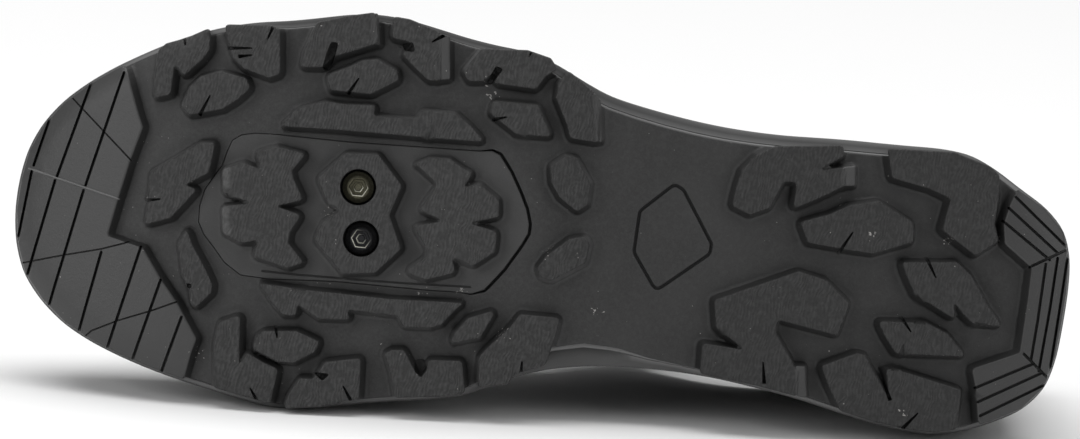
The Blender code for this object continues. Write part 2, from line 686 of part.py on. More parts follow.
def top_edge(side, place):
    """Upper end of a section, on the collar, the throat or the ridge of the vamp."""
    spread = 0.0 if place >= THROAT_END or place <= 0 else max(0.0, section_value("spread", place))
    across = section_value("centre", place) + SIDES[side] * spread
    x = (section_value("along", place) - 0.5) * SOLE_LENGTH
    return Vector((x, across * BALL_WIDTH, seat_level(x) + section_height(place)))


def behind_edge(point):
    """The point moved in, where it would show outside the sole's edge from below."""
    i, place = nearest_on_edge(point.xy)
    run = LOOP[(i + 1) % len(LOOP)] - LOOP[i]
    normal = NORMALS[i].lerp(NORMALS[(i + 1) % len(LOOP)], (place - LOOP[i]).length / run.length)
    room = (place - point.xy).dot(normal.normalized()) - UPPER_EDGE_MARGIN
    inward = (math.hypot(room, UPPER_EDGE_SOFTNESS) - room) / 2
    return point - Vector((normal.x, normal.y, 0.0)).normalized() * inward


def skin(side, place, share):
    """A point of the upper's outer face: share 0 at the midsole and 1 at its upper end."""
    low, out = lower_edge(side, place)
    top = top_edge(side, place)
    height = top.z - low.z
    width = (top.xy - low.xy).length
    first = low + out * section_value("bulge", place) * BALL_WIDTH
    first.z += height * section_value("upright", place)
    second = top + out * width * section_value("reach", place)
    second.z -= height * section_value("drop", place)
    rest = 1 - share
    return behind_edge(
        rest**3 * low + 3 * rest**2 * share * first + 3 * rest * share**2 * second + share**3 * top
    )


def build_upper(parts, material):
    bm = bmesh.new()
    for side in SIDES:
        grid = []
        for c in range(UPPER_COLUMNS + 1):
            place = column_place(c)
            grid.append([bm.verts.new(skin(side, place, r / UPPER_ROWS)) for r in range(UPPER_ROWS + 1)])
        for left, right in zip(grid, grid[1:]):
            for r in range(UPPER_ROWS):
                corners = (left[r], right[r], right[r + 1], left[r + 1])
                bm.faces.new(corners if side == "outer" else tuple(reversed(corners)))
    bmesh.ops.remove_doubles(bm, verts=bm.verts, dist=1e-5)
    upper = mesh_object("upper", bm, parts, material)
    return walled(upper, UPPER_WALL)


def column_place(c):
    """Places of the upper's columns, one of them just at the end of the throat."""
    front = round(UPPER_COLUMNS * THROAT_END)
    if c <= front:
        return THROAT_END * c / front
    return blend(THROAT_END, 1.0, (c - front) / (UPPER_COLUMNS - front))


def walled(obj, thickness, outwards=False):
    """Gives an open surface a wall. The surface's faces are turned to point away from the shoe first."""
    bm = bmesh.new()
    bm.from_mesh(obj.data)
    middle = sum((v.co for v in bm.verts), Vector()) / len(bm.verts)
    outward = sum(f.normal.dot(f.calc_center_median() - middle) * f.calc_area() for f in bm.faces)
    if outward < 0:
        bmesh.ops.reverse_faces(bm, faces=bm.faces)
    bm.to_mesh(obj.data)
    bm.free()
    wall = obj.modifiers.new("wall", "SOLIDIFY")
    wall.thickness = thickness
    wall.offset = 1.0 if outwards else -1.0
    wall.use_even_offset = True
    return obj


ARCH_STEPS = 20


@lru_cache(maxsize=None)
def arch(place):
    """A whole section over the foot, from the outer side over the throat to the inner side."""
    outer = [skin("outer", place, k / ARCH_STEPS) for k in range(ARCH_STEPS + 1)]
    inner = [skin("inner", place, 1 - k / ARCH_STEPS) for k in range(ARCH_STEPS + 1)]
    gap = (inner[0] - outer[-1]).length
    if gap < 1e-4:
        points = outer + inner[1:]
        middle = len(outer) - 1
    else:
        first = outer[-1] + (outer[-1] - outer[-2]).normalized() * gap * 0.33
        second = inner[0] + (inner[0] - inner[1]).normalized() * gap * 0.33
        steps = 8
        bridge = []
        for k in range(1, steps):
            t = k / steps
            s = 1 - t
            bridge.append(s**3 * outer[-1] + 3 * s * s * t * first + 3 * s * t * t * second + t**3 * inner[0])
        points = outer + bridge + inner
        middle = len(outer) - 1 + steps // 2
    lengths = [0.0]
    for a, b in zip(points, points[1:]):
        lengths.append(lengths[-1] + (b - a).length)
    return points, [d - lengths[middle] for d in lengths]


def over_foot(place, distance):
    points, lengths = arch(place)
    return point_at(points, lengths, distance)


def lifted(place, distance, height):
    """A point that stands off the upper's outer face by a height."""
    step, turn = 0.002, 0.01
    along = over_foot(place + turn, distance) - over_foot(place - turn, distance)
    across = over_foot(place, distance + step) - over_foot(place, distance - step)
    normal = across.cross(along).normalized()
    if normal.z < 0 and abs(distance) < TONGUE_WIDTH / 2:
        normal = -normal
    return over_foot(place, distance) + normal * height


def patch(name, rows, parts, material):
    """An open surface through rows of points."""
    bm = bmesh.new()
    grid = [[bm.verts.new(p) for p in row] for row in rows]
    for low, high in zip(grid, grid[1:]):
        for i in range(len(low) - 1):
            bm.faces.new((low[i], low[i + 1], high[i + 1], high[i]))
    return mesh_object(name, bm, parts, material)


def build_tongue(parts, material):
    depth = UPPER_WALL + TONGUE_CLEARANCE
    rows = []
    half_steps, lengthwise = 4, 13
    for k in range(lengthwise + 1):
        place = blend(TONGUE_FRONT, THROAT_TOP + TONGUE_BEHIND_THROAT, k / lengthwise)
        half = TONGUE_WIDTH / 2 * blend(TONGUE_NARROWS, 1.0, ease(k / lengthwise * 1.6))
        rows.append([lifted(place, half * i / half_steps, -depth) for i in range(-half_steps, half_steps + 1)])
    rise = (rows[-1][half_steps] - rows[-3][half_steps]).normalized()
    top = rows[-1]
    for k in (1, 2, 3):
        lift = rise * TONGUE_RISE * k / 3
        narrow = 1 - TONGUE_TOP_TAPER * k * k
        middle = top[half_steps]
        rows.append([Vector((p.x, middle.y + (p.y - middle.y) * narrow, p.z)) + lift for p in top])
    tongue = patch("tongue", rows, parts, material)
    return walled(tongue, TONGUE_THICKNESS)


def build_strap(strap, parts, material):
    """A strap laid over the upper, across the throat, with its loose end on the outer side."""
    rows = []
    run = strap.width / (over_foot(strap.middle + 0.05, 0.0) - over_foot(strap.middle - 0.05, 0.0)).length * 0.1
    steps, wide = 15, 3
    for k in range(wide + 1):
        place = strap.middle + run * (k / wide - 0.5)
        corner = STRAP_END_ROUND * strap.width * (abs(k / wide - 0.5) * 2) ** 3
        start, end = -strap.outer + corner, strap.inner
        rows.append([lifted(place, blend(start, end, i / steps), STRAP_LIFT) for i in range(steps + 1)])
    obj = patch(strap.name, rows, parts, material)
    return walled(obj, STRAP_THICKNESS, outwards=True)


def world_points(objects):
    graph = bpy.context.evaluated_depsgraph_get()
    for obj in objects:
        evaluated = obj.evaluated_get(graph)
        mesh = evaluated.to_mesh()
        yield obj, [v.co.copy() for v in mesh.vertices], [
            [mesh.vertices[i].co.copy() for i in tri.vertices] for tri in triangles(mesh)]
        evaluated.to_mesh_clear()


def triangles(mesh):
    mesh.calc_loop_triangles()
    return mesh.loop_triangles


def lay_down(shoe, parts):
    """Turns the shoe onto its inner side, onto the hull face under its centre of mass."""
    hull = bmesh.new()
    mass, moment = 0.0, Vector()
    for obj, points, tris in world_points(parts.objects):
        density = DENSITIES.get(obj.name, OTHER_DENSITY)
        for a, b, c in tris:
            volume = a.dot(b.cross(c)) / 6 * density
            mass += volume
            moment += volume * (a + b + c) / 4
        for point in points:
            hull.verts.new(point)
    centre = moment / mass
    made = bmesh.ops.convex_hull(hull, input=hull.verts)
    faces = [g for g in made["geom"] if isinstance(g, bmesh.types.BMFace)]
    bmesh.ops.recalc_face_normals(hull, faces=faces)
    for face in faces:
        face.normal_update()

    def below(face):
        """Distance down to the face, or None where the centre isn't over it."""
        normal = face.normal
        if normal.y < 0.8:
            return None
        drop = normal.dot(face.verts[0].co - centre)
        foot = centre + normal * drop
        corners = [v.co for v in face.verts]
        for a, b in zip(corners, corners[1:] + corners[:1]):
            if (b - a).cross(foot - a).dot(normal) < -1e-9:
                return None
        return drop

    rest = min((f for f in faces if below(f) is not None), key=below)
    down = rest.normal.copy()
    hull.free()
    up = -down
    away = (Vector((0, 0, 1)) - up * up.z).normalized()
    turn = Matrix((away.cross(up), away, up)).to_4x4()
    shoe.matrix_world = turn
    bpy.context.view_layer.update()
    corners = [turn @ p for _, points, _ in world_points(parts.objects) for p in points]
    low = Vector(min(p[k] for p in corners) for k in range(3))
    high = Vector(max(p[k] for p in corners) for k in range(3))
    middle = (low + high) / 2
    shoe.matrix_world = Matrix.Translation((-middle.x, -middle.y, -low.z)) @ turn
    bpy.context.view_layer.update()


def main():
    clear_scene()
    parts = new_collection("cycling_shoe")
    cutters = new_collection("cutters")
    rubber = new_material("outsole_rubber", (0.040, 0.040, 0.041), 0.62)
    cover_rubber = new_material("cover_rubber", (0.040, 0.040, 0.041), 0.60)
    foam = new_material("midsole_foam", (0.120, 0.120, 0.122), 0.60)
    shell = new_material("upper_leather", (0.022, 0.022, 0.024), 0.45)
    cloth = new_material("tongue_cloth", (0.030, 0.030, 0.032), 0.85)
    lining = new_material("insole_cloth", (0.055, 0.055, 0.058), 0.90)
    webbing = new_material("strap_webbing", (0.026, 0.026, 0.028), 0.55)
    steel = new_material("screw_steel", (0.110, 0.105, 0.095), 0.38, 1.0)

    build_outsole(parts, cutters, rubber)
    build_cover(parts, cutters, cover_rubber)
    build_screws(parts, cutters, steel)
    build_midsole(parts, foam)
    build_insole(parts, lining)
    build_upper(parts, shell)
    build_tongue(parts, cloth)
    for strap in STRAPS:
        build_strap(strap, parts, webbing)
    for obj in parts.objects:
        smooth_edges(obj, 30)

    shoe = bpy.data.objects.new("shoe", None)
    bpy.context.scene.collection.objects.link(shoe)
    bpy.context.view_layer.update()
    lay_down(shoe, parts)
    for obj in list(parts.objects) + list(cutters.objects):
        obj.parent = shoe
    bpy.context.view_layer.update()


main()
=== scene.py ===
import json
import math

import bmesh
import bpy
import numpy as np
from mathutils import Matrix, Vector, geometry, kdtree

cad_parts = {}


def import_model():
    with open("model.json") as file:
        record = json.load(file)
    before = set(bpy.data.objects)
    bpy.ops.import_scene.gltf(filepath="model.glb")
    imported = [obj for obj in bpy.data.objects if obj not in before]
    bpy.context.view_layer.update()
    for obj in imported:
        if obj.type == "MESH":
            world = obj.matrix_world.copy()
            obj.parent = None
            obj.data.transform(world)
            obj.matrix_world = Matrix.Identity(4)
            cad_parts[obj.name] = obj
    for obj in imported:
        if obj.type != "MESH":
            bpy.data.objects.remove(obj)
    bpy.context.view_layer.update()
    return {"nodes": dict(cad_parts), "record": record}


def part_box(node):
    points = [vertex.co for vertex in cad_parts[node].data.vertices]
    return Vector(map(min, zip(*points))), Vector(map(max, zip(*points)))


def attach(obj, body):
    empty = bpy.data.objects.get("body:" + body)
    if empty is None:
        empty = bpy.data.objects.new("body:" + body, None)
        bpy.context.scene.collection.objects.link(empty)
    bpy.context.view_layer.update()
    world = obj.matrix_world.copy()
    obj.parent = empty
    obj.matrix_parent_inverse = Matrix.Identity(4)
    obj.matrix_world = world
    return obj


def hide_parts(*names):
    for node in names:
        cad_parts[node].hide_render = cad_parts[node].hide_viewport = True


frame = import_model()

# The shoe lies on its inner side, with the sole towards the camera. Three mounts on the sole's
# ground faces give its directions: toe to heel, outer to inner side, and ground to foot. Places
# on the sole are read from a straight picture of it, the sheet, in the sheet's own units.
MM = 0.001
SHEET_TURN = math.radians(5.21)
SHEET_MIDDLE = (560.7, 202.0)
SHEET_CLEAT = (359.5, 213.3)
SHEET_HEEL = (858, 228)


def turned(place):
    """A place on the sheet, in sheet units along and across the sole."""
    x, y = place
    return np.array([
        x * math.cos(SHEET_TURN) + y * math.sin(SHEET_TURN) - SHEET_MIDDLE[0],
        y * math.cos(SHEET_TURN) - x * math.sin(SHEET_TURN) - SHEET_MIDDLE[1],
    ])


mounts = {mount["name"]: mount for mount in frame["record"]["mounts"]}
cleat_place = Vector(mounts["cleat_face"]["pos_m"])
INWARD = -Vector(mounts["cleat_face"]["axis"]).normalized()
span = Vector(mounts["heel_ground"]["pos_m"]) - cleat_place
drawn = turned(SHEET_HEEL) - turned(SHEET_CLEAT)
SHEET_UNIT = span.length / float(np.hypot(*drawn))
ALONG = (span * drawn[0] - INWARD.cross(span) * drawn[1]).normalized()
ACROSS = INWARD.cross(ALONG)
start = turned(SHEET_CLEAT) * SHEET_UNIT
MIDDLE = cleat_place - ALONG * start[0] - ACROSS * start[1]


def on_plan(*places):
    """Places of the sheet as plan points in metres, along and across the sole."""
    return np.array([turned(place) * SHEET_UNIT for place in places])


def in_room(points):
    """Points along, across and into the sole, as points of the room."""
    points = np.asarray(points)
    return np.array(MIDDLE) + points @ np.array([ALONG, ACROSS, INWARD])


def on_sole(points):
    """Points of the room, as points along, across and into the sole."""
    return (np.asarray(points) - np.array(MIDDLE)) @ np.array([ALONG, ACROSS, INWARD]).T


# The picture is taken straight at the sole from far away, turned as the sheet is turned.
SHEET_WIDTH = 1080
VIEW_CENTRE = (540, 219.5)
VIEW_WIDTH = SHEET_WIDTH * SHEET_UNIT
VIEW_DISTANCE = 4.0
right = ALONG * math.cos(SHEET_TURN) - ACROSS * math.sin(SHEET_TURN)
up = -(ALONG * math.sin(SHEET_TURN) + ACROSS * math.cos(SHEET_TURN))
back = -INWARD
aim = Vector(in_room([[*on_plan(VIEW_CENTRE)[0], 0.0]])[0])
camera = bpy.data.objects.new("camera", bpy.data.cameras.new("camera"))
bpy.context.scene.collection.objects.link(camera)
facing = Matrix((right, up, back)).transposed().to_4x4()
camera.matrix_world = Matrix.Translation(aim + back * VIEW_DISTANCE) @ facing
camera.data.sensor_width = 36.0
camera.data.lens = camera.data.sensor_width * VIEW_DISTANCE / VIEW_WIDTH
camera.data.clip_end = 20.0
bpy.context.scene.camera = camera


# The floor is a wide sheet of pale matt board, laid flat and lit evenly. It has very faint
# mottling.
class Socket:
    """A number, colour or vector in a material. Arithmetic on it adds Math nodes."""

    def __init__(self, finish, link):
        self.finish, self.link = finish, link

    def math(self, operation, a, b=0.0):
        return self.finish.node("Math", {"operation": operation}, {0: a, 1: b})

    def __add__(self, other):
        return self.math("ADD", self, other)

    def __sub__(self, other):
        return self.math("SUBTRACT", self, other)

    def __rsub__(self, other):
        return self.math("SUBTRACT", other, self)

    def __mul__(self, other):
        return self.math("MULTIPLY", self, other)

    __radd__, __rmul__ = __add__, __mul__

    def rise(self, low, high):
        """0 up to low and 1 from high, with a smooth rise between them."""
        return self.finish.node(
            "MapRange", {"interpolation_type": "SMOOTHSTEP"},
            {"Value": self, "From Min": low, "From Max": high},
        )


class Finish:
    """A material. Numbers that are the same all over are set on the shader's own sockets."""

    def __init__(self, name, **fixed):
        self.material = bpy.data.materials.new(name)
        self.material.use_nodes = True
        self.tree = self.material.node_tree
        self.shader = self.tree.nodes["Principled BSDF"]
        for socket, value in fixed.items():
            self.shader.inputs[self.label(socket)].default_value = value
        self.places = self.node("TexCoord", {}, {}, "Object")

    @staticmethod
    def label(name):
        return name.replace("_", " ").title().replace("Ior", "IOR")

    def node(self, kind, settings, values, output=0):
        made = self.tree.nodes.new("ShaderNode" + kind)
        for name, value in settings.items():
            setattr(made, name, value)
        for name, value in values.items():
            self.feed(made.inputs[name], value)
        return Socket(self, made.outputs[output])

    def feed(self, socket, value):
        if isinstance(value, Socket):
            self.tree.links.new(value.link, socket)
        else:
            socket.default_value = value

    def noise(self, size, detail=3.0):
        """Cloudy noise whose clouds are about size metres across."""
        return self.node(
            "TexNoise", {},
            {"Vector": self.places, "Scale": 1 / size, "Detail": detail, "Roughness": 0.55},
        )

    def cells(self, size):
        """Distance to the edges of cells that are about size metres across, as a share of it."""
        return self.node(
            "TexVoronoi", {"feature": "DISTANCE_TO_EDGE"}, {"Vector": self.places, "Scale": 1 / size},
            "Distance",
        )

    def waves(self, way, pitch):
        """Waves from -1 to 1 along a way in metres."""
        return self.node("Math", {"operation": "SINE"}, {0: way * (2 * math.pi / pitch)})

    def attribute(self, name):
        return self.node("Attribute", {"attribute_name": name}, {}, "Fac")

    def mixed(self, share, low, high):
        """A colour between two colours."""
        return self.node("Mix", {"data_type": "RGBA"}, {0: share, 6: low, 7: high}, 2)

    def along(self, direction):
        """How far a place is along a direction, in metres."""
        return self.node("VectorMath", {"operation": "DOT_PRODUCT"}, {0: self.places, 1: direction}, "Value")

    def apart(self, place):
        """Distance from a place of the sheet, straight through the sole."""
        target = in_room([np.append(on_plan(place)[0], 0)])[0]
        level = self.along(INWARD) - float(target @ np.array(INWARD))
        far = self.node(
            "VectorMath", {"operation": "DISTANCE"}, {0: self.places, 1: tuple(target)}, "Value"
        )
        return self.node("Math", {"operation": "SQRT"}, {0: far * far - level * level})

    def raised(self, height):
        """A surface direction from a height in metres."""
        return self.node("Bump", {}, {"Height": height, "Distance": 1.0, "Strength": 1.0}, "Normal")

    def paint(self, **values):
        for name, value in values.items():
            self.feed(self.shader.inputs[self.label(name)], value)


def grey(level, warmth=0.0):
    """A grey, or with some warmth a near-grey."""
    return (level * (1 + warmth), level, level * (1 - warmth), 1.0)


def linked(name, mesh, material=None):
    """A mesh as an object of the scene."""
    piece = bpy.data.objects.new(name, mesh)
    bpy.context.scene.collection.objects.link(piece)
    if material:
        mesh.materials.append(material)
    return piece


FLOOR_SIZE = 8.0
FLOOR_GREY = 0.93
FLOOR_MOTTLE = 0.985
floor_mesh = bpy.data.meshes.new("floor")
half = FLOOR_SIZE / 2
floor_mesh.from_pydata(
    [(-half, -half, 0), (half, -half, 0), (half, half, 0), (-half, half, 0)], [], [(0, 1, 2, 3)]
)
board = Finish("pale_board", roughness=0.85, specular_ior_level=0.2)
board.paint(
    base_color=board.mixed(board.noise(0.25), grey(FLOOR_GREY * FLOOR_MOTTLE), grey(FLOOR_GREY))
)
linked("floor", floor_mesh, board.material)


# The outsole is one moulding of hard black rubber. Its lugs stand on a thin base with sloping
# sides and soft roots, their tops textured with broken wavy lines. Low bumpers, smooth and cut
# by narrow grooves, wrap the toe and the heel.
SOLE_LENGTH = 286.8 * MM
TOE_SPRING = 21.0 * MM
TOE_CURVE = 1.9
TOE_BREAK = 0.270
WAIST_RISE = 3.0 * MM
WAIST_FRONT, WAIST_BACK = 0.500, 0.730
HEEL_LIFT = 2.0 * MM
HEEL_BREAK = 0.930
LUG_HEIGHT = 4.5 * MM
BUMPER_HEIGHT = 3.6 * MM
OUTSOLE_BASE = 3.6 * MM
EDGE_ROLL = 2.2 * MM
EDGE_ROLL_REACH = 6.5 * MM
EDGE_ROUND = 0.35 * MM
# Lines this far inside the moulding's edge carry its rounding and its roll
ROUND_LINES = (0.12 * MM, EDGE_ROUND)
ROLL_LINES = (1.0 * MM, 2.0 * MM, 3.4 * MM, 5.0 * MM)
POCKET_DEPTH = 2.6 * MM
CORNER_ROUND = 0.8 * MM
POINT_SPACING = 2.4 * MM
# Two points nearer than this are the same one
SAME_POINT = 0.002 * MM
# Faces of the CAD solid up to these heights into the sole are tops of lugs and of bumpers
LUG_LEVEL = 0.55 * MM
BUMPER_LEVEL = 3.4 * MM

# Side of a lug: distance outside its ground face in mm, and share of its height
LUG_SIDE = np.array([
    (-0.55, 1.0), (-0.28, 0.988), (-0.08, 0.95), (0.08, 0.86), (0.90, 0.16), (1.15, 0.055), (1.75, 0.0),
])
# Sides are drafted more on the sole's middle side: how much nearer to it a lug's foot stands
FOOT_LEAN = 0.0085
# Beside the lugs the mesh is finer: how far out, and how far apart its points are
SIDE_REACH = 4.0 * MM
SIDE_SPACING = 0.8 * MM
# Side of a groove or a pit: distance outside its edge in mm, and share of its depth
CUT_SIDE = np.array([(-0.10, 1.0), (0.07, 0.0)])


def tread_level(x):
    """How far the ground faces stand off the ground, along the sole."""
    along = x / SOLE_LENGTH + 0.5
    toe = np.maximum(0.0, (TOE_BREAK - along) / TOE_BREAK)
    waist = np.sin(math.pi * np.clip((along - WAIST_FRONT) / (WAIST_BACK - WAIST_FRONT), 0, 1))
    heel = np.maximum(0.0, (along - HEEL_BREAK) / (1 - HEEL_BREAK))
    return TOE_SPRING * toe**TOE_CURVE + WAIST_RISE * waist**2 + HEEL_LIFT * heel**2


def edge_roll(x, distance):
    """How far the sole's face turns up beside its edge, at the toe and at the heel."""
    along = x / SOLE_LENGTH + 0.5
    toe = np.clip((TOE_BREAK - along) / TOE_BREAK * 2, 0, 1)
    heel = np.clip((along - HEEL_BREAK) * 20, 0, 1)
    share = np.maximum(toe**2 * (3 - 2 * toe), heel**2 * (3 - 2 * heel) * 0.6)
    return EDGE_ROLL * share * np.clip(1 - distance / EDGE_ROLL_REACH, 0, 1) ** 2


def signed_distance(points, loop, reach=np.inf):
    """Distance of plan points outside a closed outline, negative inside it."""
    result = np.full(len(points), np.inf)
    low, high = loop.min(axis=0) - reach, loop.max(axis=0) + reach
    close = np.nonzero(((points >= low) & (points <= high)).all(axis=1))[0]
    x, y = points[close].T
    near = np.full(len(close), np.inf)
    odd = np.zeros(len(close), bool)
    for (ax, ay), (bx, by) in zip(loop, np.roll(loop, -1, axis=0)):
        dx, dy = bx - ax, by - ay
        share = np.clip(((x - ax) * dx + (y - ay) * dy) / max(dx * dx + dy * dy, 1e-18), 0, 1)
        near = np.minimum(near, (x - ax - share * dx) ** 2 + (y - ay - share * dy) ** 2)
        if dy:
            odd ^= ((ay > y) != (by > y)) & (x < ax + (y - ay) / dy * dx)
    result[close] = np.where(odd, -1, 1) * np.sqrt(near)
    return result


def area_of(loop):
    following = np.roll(loop, -1, axis=0)
    return float((loop[:, 0] * following[:, 1] - loop[:, 1] * following[:, 0]).sum()) / 2


def softened(outline, radius, steps=4):
    """A closed outline with rounded corners and evenly spaced points between them, counterclockwise."""
    corners = outline if area_of(outline) > 0 else outline[::-1]
    points = []
    count = len(corners)
    for i in range(count):
        before, corner, after = corners[i - 1], corners[i], corners[(i + 1) % count]
        arrive, leave = corner - before, after - corner
        lengths = np.hypot(*arrive), np.hypot(*leave)
        arrive, leave = arrive / lengths[0], leave / lengths[1]
        bend = math.acos(float(np.clip(arrive @ leave, -1, 1)))
        cut = min(radius * max(0.4, bend), 0.42 * lengths[0], 0.42 * lengths[1])
        turns = steps if bend > 0.25 else 1
        for k in range(turns + 1):
            t = k / turns
            early, late = corner - arrive * cut, corner + leave * cut
            points.append((1 - t) ** 2 * early + 2 * t * (1 - t) * corner + t * t * late)
        left = lengths[1] - 2 * cut
        parts = int(left / POINT_SPACING)
        for k in range(1, parts + 1):
            points.append(corner + leave * (cut + left * k / (parts + 1)))
    return np.array(points)


def cleaned(outline, least=0.25 * MM, straight=0.04 * MM):
    """A closed outline without the points that stand too close together or on a straight line."""
    points = [p for p in outline]
    changed = True
    while changed:
        changed = False
        for i in range(len(points) - 1, -1, -1):
            a, b, c = points[i - 1], points[i], points[(i + 1) % len(points)]
            run = c - a
            off = abs(run[0] * (b - a)[1] - run[1] * (b - a)[0]) / max(np.hypot(*run), 1e-9)
            if np.hypot(*(b - a)) < least or off < straight:
                del points[i]
                changed = True
    return np.array(points)


def flat_faces(node, direction, limit=0.6):
    """The joined faces of a CAD node that face one way: outer outline, and height into the sole."""
    bm = bmesh.new()
    bm.from_mesh(node.data)
    bmesh.ops.remove_doubles(bm, verts=bm.verts, dist=SAME_POINT)
    bmesh.ops.dissolve_degenerate(bm, dist=1e-6, edges=bm.edges)
    waiting = dict.fromkeys(face for face in bm.faces if face.normal.dot(direction) > limit)
    found = []
    while waiting:
        first = next(iter(waiting))
        del waiting[first]
        group, front = {}, [first]
        while front:
            face = front.pop()
            group[face] = True
            for edge in face.edges:
                for other in edge.link_faces:
                    if other in waiting:
                        del waiting[other]
                        front.append(other)
        follows = {}
        for face in group:
            for loop in face.loops:
                if sum(other in group for other in loop.edge.link_faces) == 1:
                    follows[loop.vert] = loop.link_loop_next.vert
        outer = None
        while follows:
            first = vert = next(iter(follows))
            line = []
            while vert in follows:
                line.append(vert.co[:])
                vert = follows.pop(vert)
            if len(line) > 2:
                line = on_sole(line)
                if outer is None or abs(area_of(line[:, :2])) > abs(area_of(outer[:, :2])):
                    outer = line
        if outer is not None and abs(area_of(outer[:, :2])) > 2 * MM * MM:
            height = float(np.median(outer[:, 2] - tread_level(outer[:, 0])))
            found.append((height, outer[:, :2]))
    bm.free()
    return found


class Drawing:
    """Lines in plan that become the creases of one triangulated face."""

    def __init__(self):
        self.points, self.edges = [], []

    def add(self, line, closed=True, kept=None, gap=3.2 * MM):
        """Adds a line, or those of its points that are kept, joined where they are close."""
        order = [i for i in range(len(line)) if kept is None or kept[i]]
        first = len(self.points)
        self.points.extend(line[i] for i in order)
        for k in range(len(order) - (0 if closed else 1)):
            following = (k + 1) % len(order)
            if np.hypot(*(line[order[following]] - line[order[k]])) < gap and following != k:
                self.edges.append((first + k, first + following))

    def beside(self, loop, distance, others=(), lean=0.0):
        """Adds the line at a distance outside a closed outline, but not where another outline is nearer."""
        run = np.roll(loop, -1, axis=0) - np.roll(loop, 1, axis=0)
        normal = np.stack([run[:, 1], -run[:, 0]], axis=1) / np.maximum(np.hypot(*run.T), 1e-9)[:, None]
        moved = loop + normal * distance
        kept = np.abs(signed_distance(moved, loop)) > abs(distance) - 0.03 * MM
        for other in others:
            kept &= signed_distance(moved, other, 3 * MM) > distance - 0.02 * MM
        self.add(moved * (1 - lean), kept=kept)

    def fill(self, low, high, spacing, clearance, near=(), reach=0.0):
        """Adds a grid of single points away from the lines, near some outlines or everywhere."""
        tree = kdtree.KDTree(len(self.points))
        for i, point in enumerate(self.points):
            tree.insert((point[0], point[1], 0.0), i)
        tree.balance()
        rows = np.arange(int((high[1] - low[1]) / (spacing * 0.87)) + 1)
        columns = np.arange(int((high[0] - low[0]) / spacing) + 1)
        column, row = (part.ravel() for part in np.meshgrid(columns, rows))
        grid = low + np.stack([(column + 0.5 * (row % 2)) * spacing, row * spacing * 0.87], axis=1)
        if near:
            wanted = np.zeros(len(grid), bool)
            for outline in near:
                wanted |= np.abs(signed_distance(grid, outline, reach) - reach / 2) < reach / 2
            grid = grid[wanted]
        self.points.extend(point for point in grid if tree.find((*point, 0.0))[2] > clearance)

    def triangles(self):
        made = geometry.delaunay_2d_cdt([Vector(p) for p in self.points], self.edges, [], 0, 5e-6, False)
        return np.array([v[:] for v in made[0]]), np.array(made[2])


def offset(loop, distance):
    """The closed line at a distance outside a smooth closed line, point for point."""
    run = np.roll(loop, -1, axis=0) - np.roll(loop, 1, axis=0)
    return loop + np.stack([run[:, 1], -run[:, 0]], axis=1) / np.hypot(*run.T)[:, None] * distance


def around(line, radius, steps=4):
    """The outline at a radius round an open line."""
    line = np.asarray(line, float)
    runs = np.diff(line, axis=0)
    runs /= np.hypot(*runs.T)[:, None]
    left, right_side = [], []
    for i, point in enumerate(line):
        before, after = runs[max(0, i - 1)], runs[min(len(runs) - 1, i)]
        run = (before + after) / np.hypot(*(before + after))
        stretch = radius / max(0.5, float(run @ after))
        side = np.array([run[1], -run[0]]) * stretch
        right_side.append(point + side)
        left.append(point - side)
    ends = []
    for point, run in ((line[-1], runs[-1]), (line[0], -runs[0])):
        out = np.array([run[1], -run[0]])
        ends.append([
            point + (out * math.cos(a) + run * math.sin(a)) * radius
            for a in (math.pi * k / steps for k in range(1, steps))
        ])
    return spread(np.array(right_side + ends[0] + left[::-1] + ends[1]))


def spread(loop, spacing=POINT_SPACING):
    """A closed line with more points where they stand far apart."""
    points = []
    for a, b in zip(loop, np.roll(loop, -1, axis=0)):
        parts = int(np.hypot(*(b - a)) / spacing)
        points.extend(a + (b - a) * k / (parts + 1) for k in range(parts + 1))
    return np.array(points)


def side_share(points, outline):
    """How far points in plan are outside a lug's top and its foot in mm, and how high on its side."""
    reach = 6 * MM
    top = np.clip(signed_distance(points, outline, reach), -reach, reach) / MM
    foot = np.clip(signed_distance(points * (1 + FOOT_LEAN), outline, reach), -reach, reach) / MM
    places, shares = LUG_SIDE.T
    margins = places[:, None] - top * shares[:, None] - foot * (1 - shares[:, None])
    share = (margins[0] >= 0).astype(float)
    for k in range(len(places) - 1):
        between = (margins[k] < 0) & (margins[k + 1] >= 0)
        part = margins[k][between] / (margins[k] - margins[k + 1])[between]
        share[between] = np.maximum(share[between], shares[k] + (shares[k + 1] - shares[k]) * part)
    return top, foot, share


class Block:
    """A lug or bumper on a rubber face. Its top may slope down from one place to another."""

    def __init__(self, outline, height, slope=None):
        self.outline, self.height, self.slope = outline, height, slope

    def heights(self, points):
        if self.slope is None:
            return self.height
        high, low, least = self.slope
        run = low - high
        share = np.clip((points - high) @ run / (run @ run), 0, 1)
        return self.height + (least - self.height) * share


class Cut:
    """A groove or a pit in a rubber face, or with a depth below 0 a ridge on it.

    In a block, a cut goes no deeper than the base's face. Its sides get painted shade from one place on
    along the sole.
    """

    def __init__(self, outline, depth, in_block=True, island=None, painted_shade_from=-np.inf):
        self.outline, self.depth, self.in_block, self.island = outline, depth, in_block, island
        self.painted_shade_from = painted_shade_from


RIDGE_HEIGHT = 0.25 * MM
RIDGE_WIDTH = 0.45 * MM


def groove(places, width, depth):
    """A groove along places of the sheet."""
    return Cut(around(on_plan(*places), width / 2), depth)


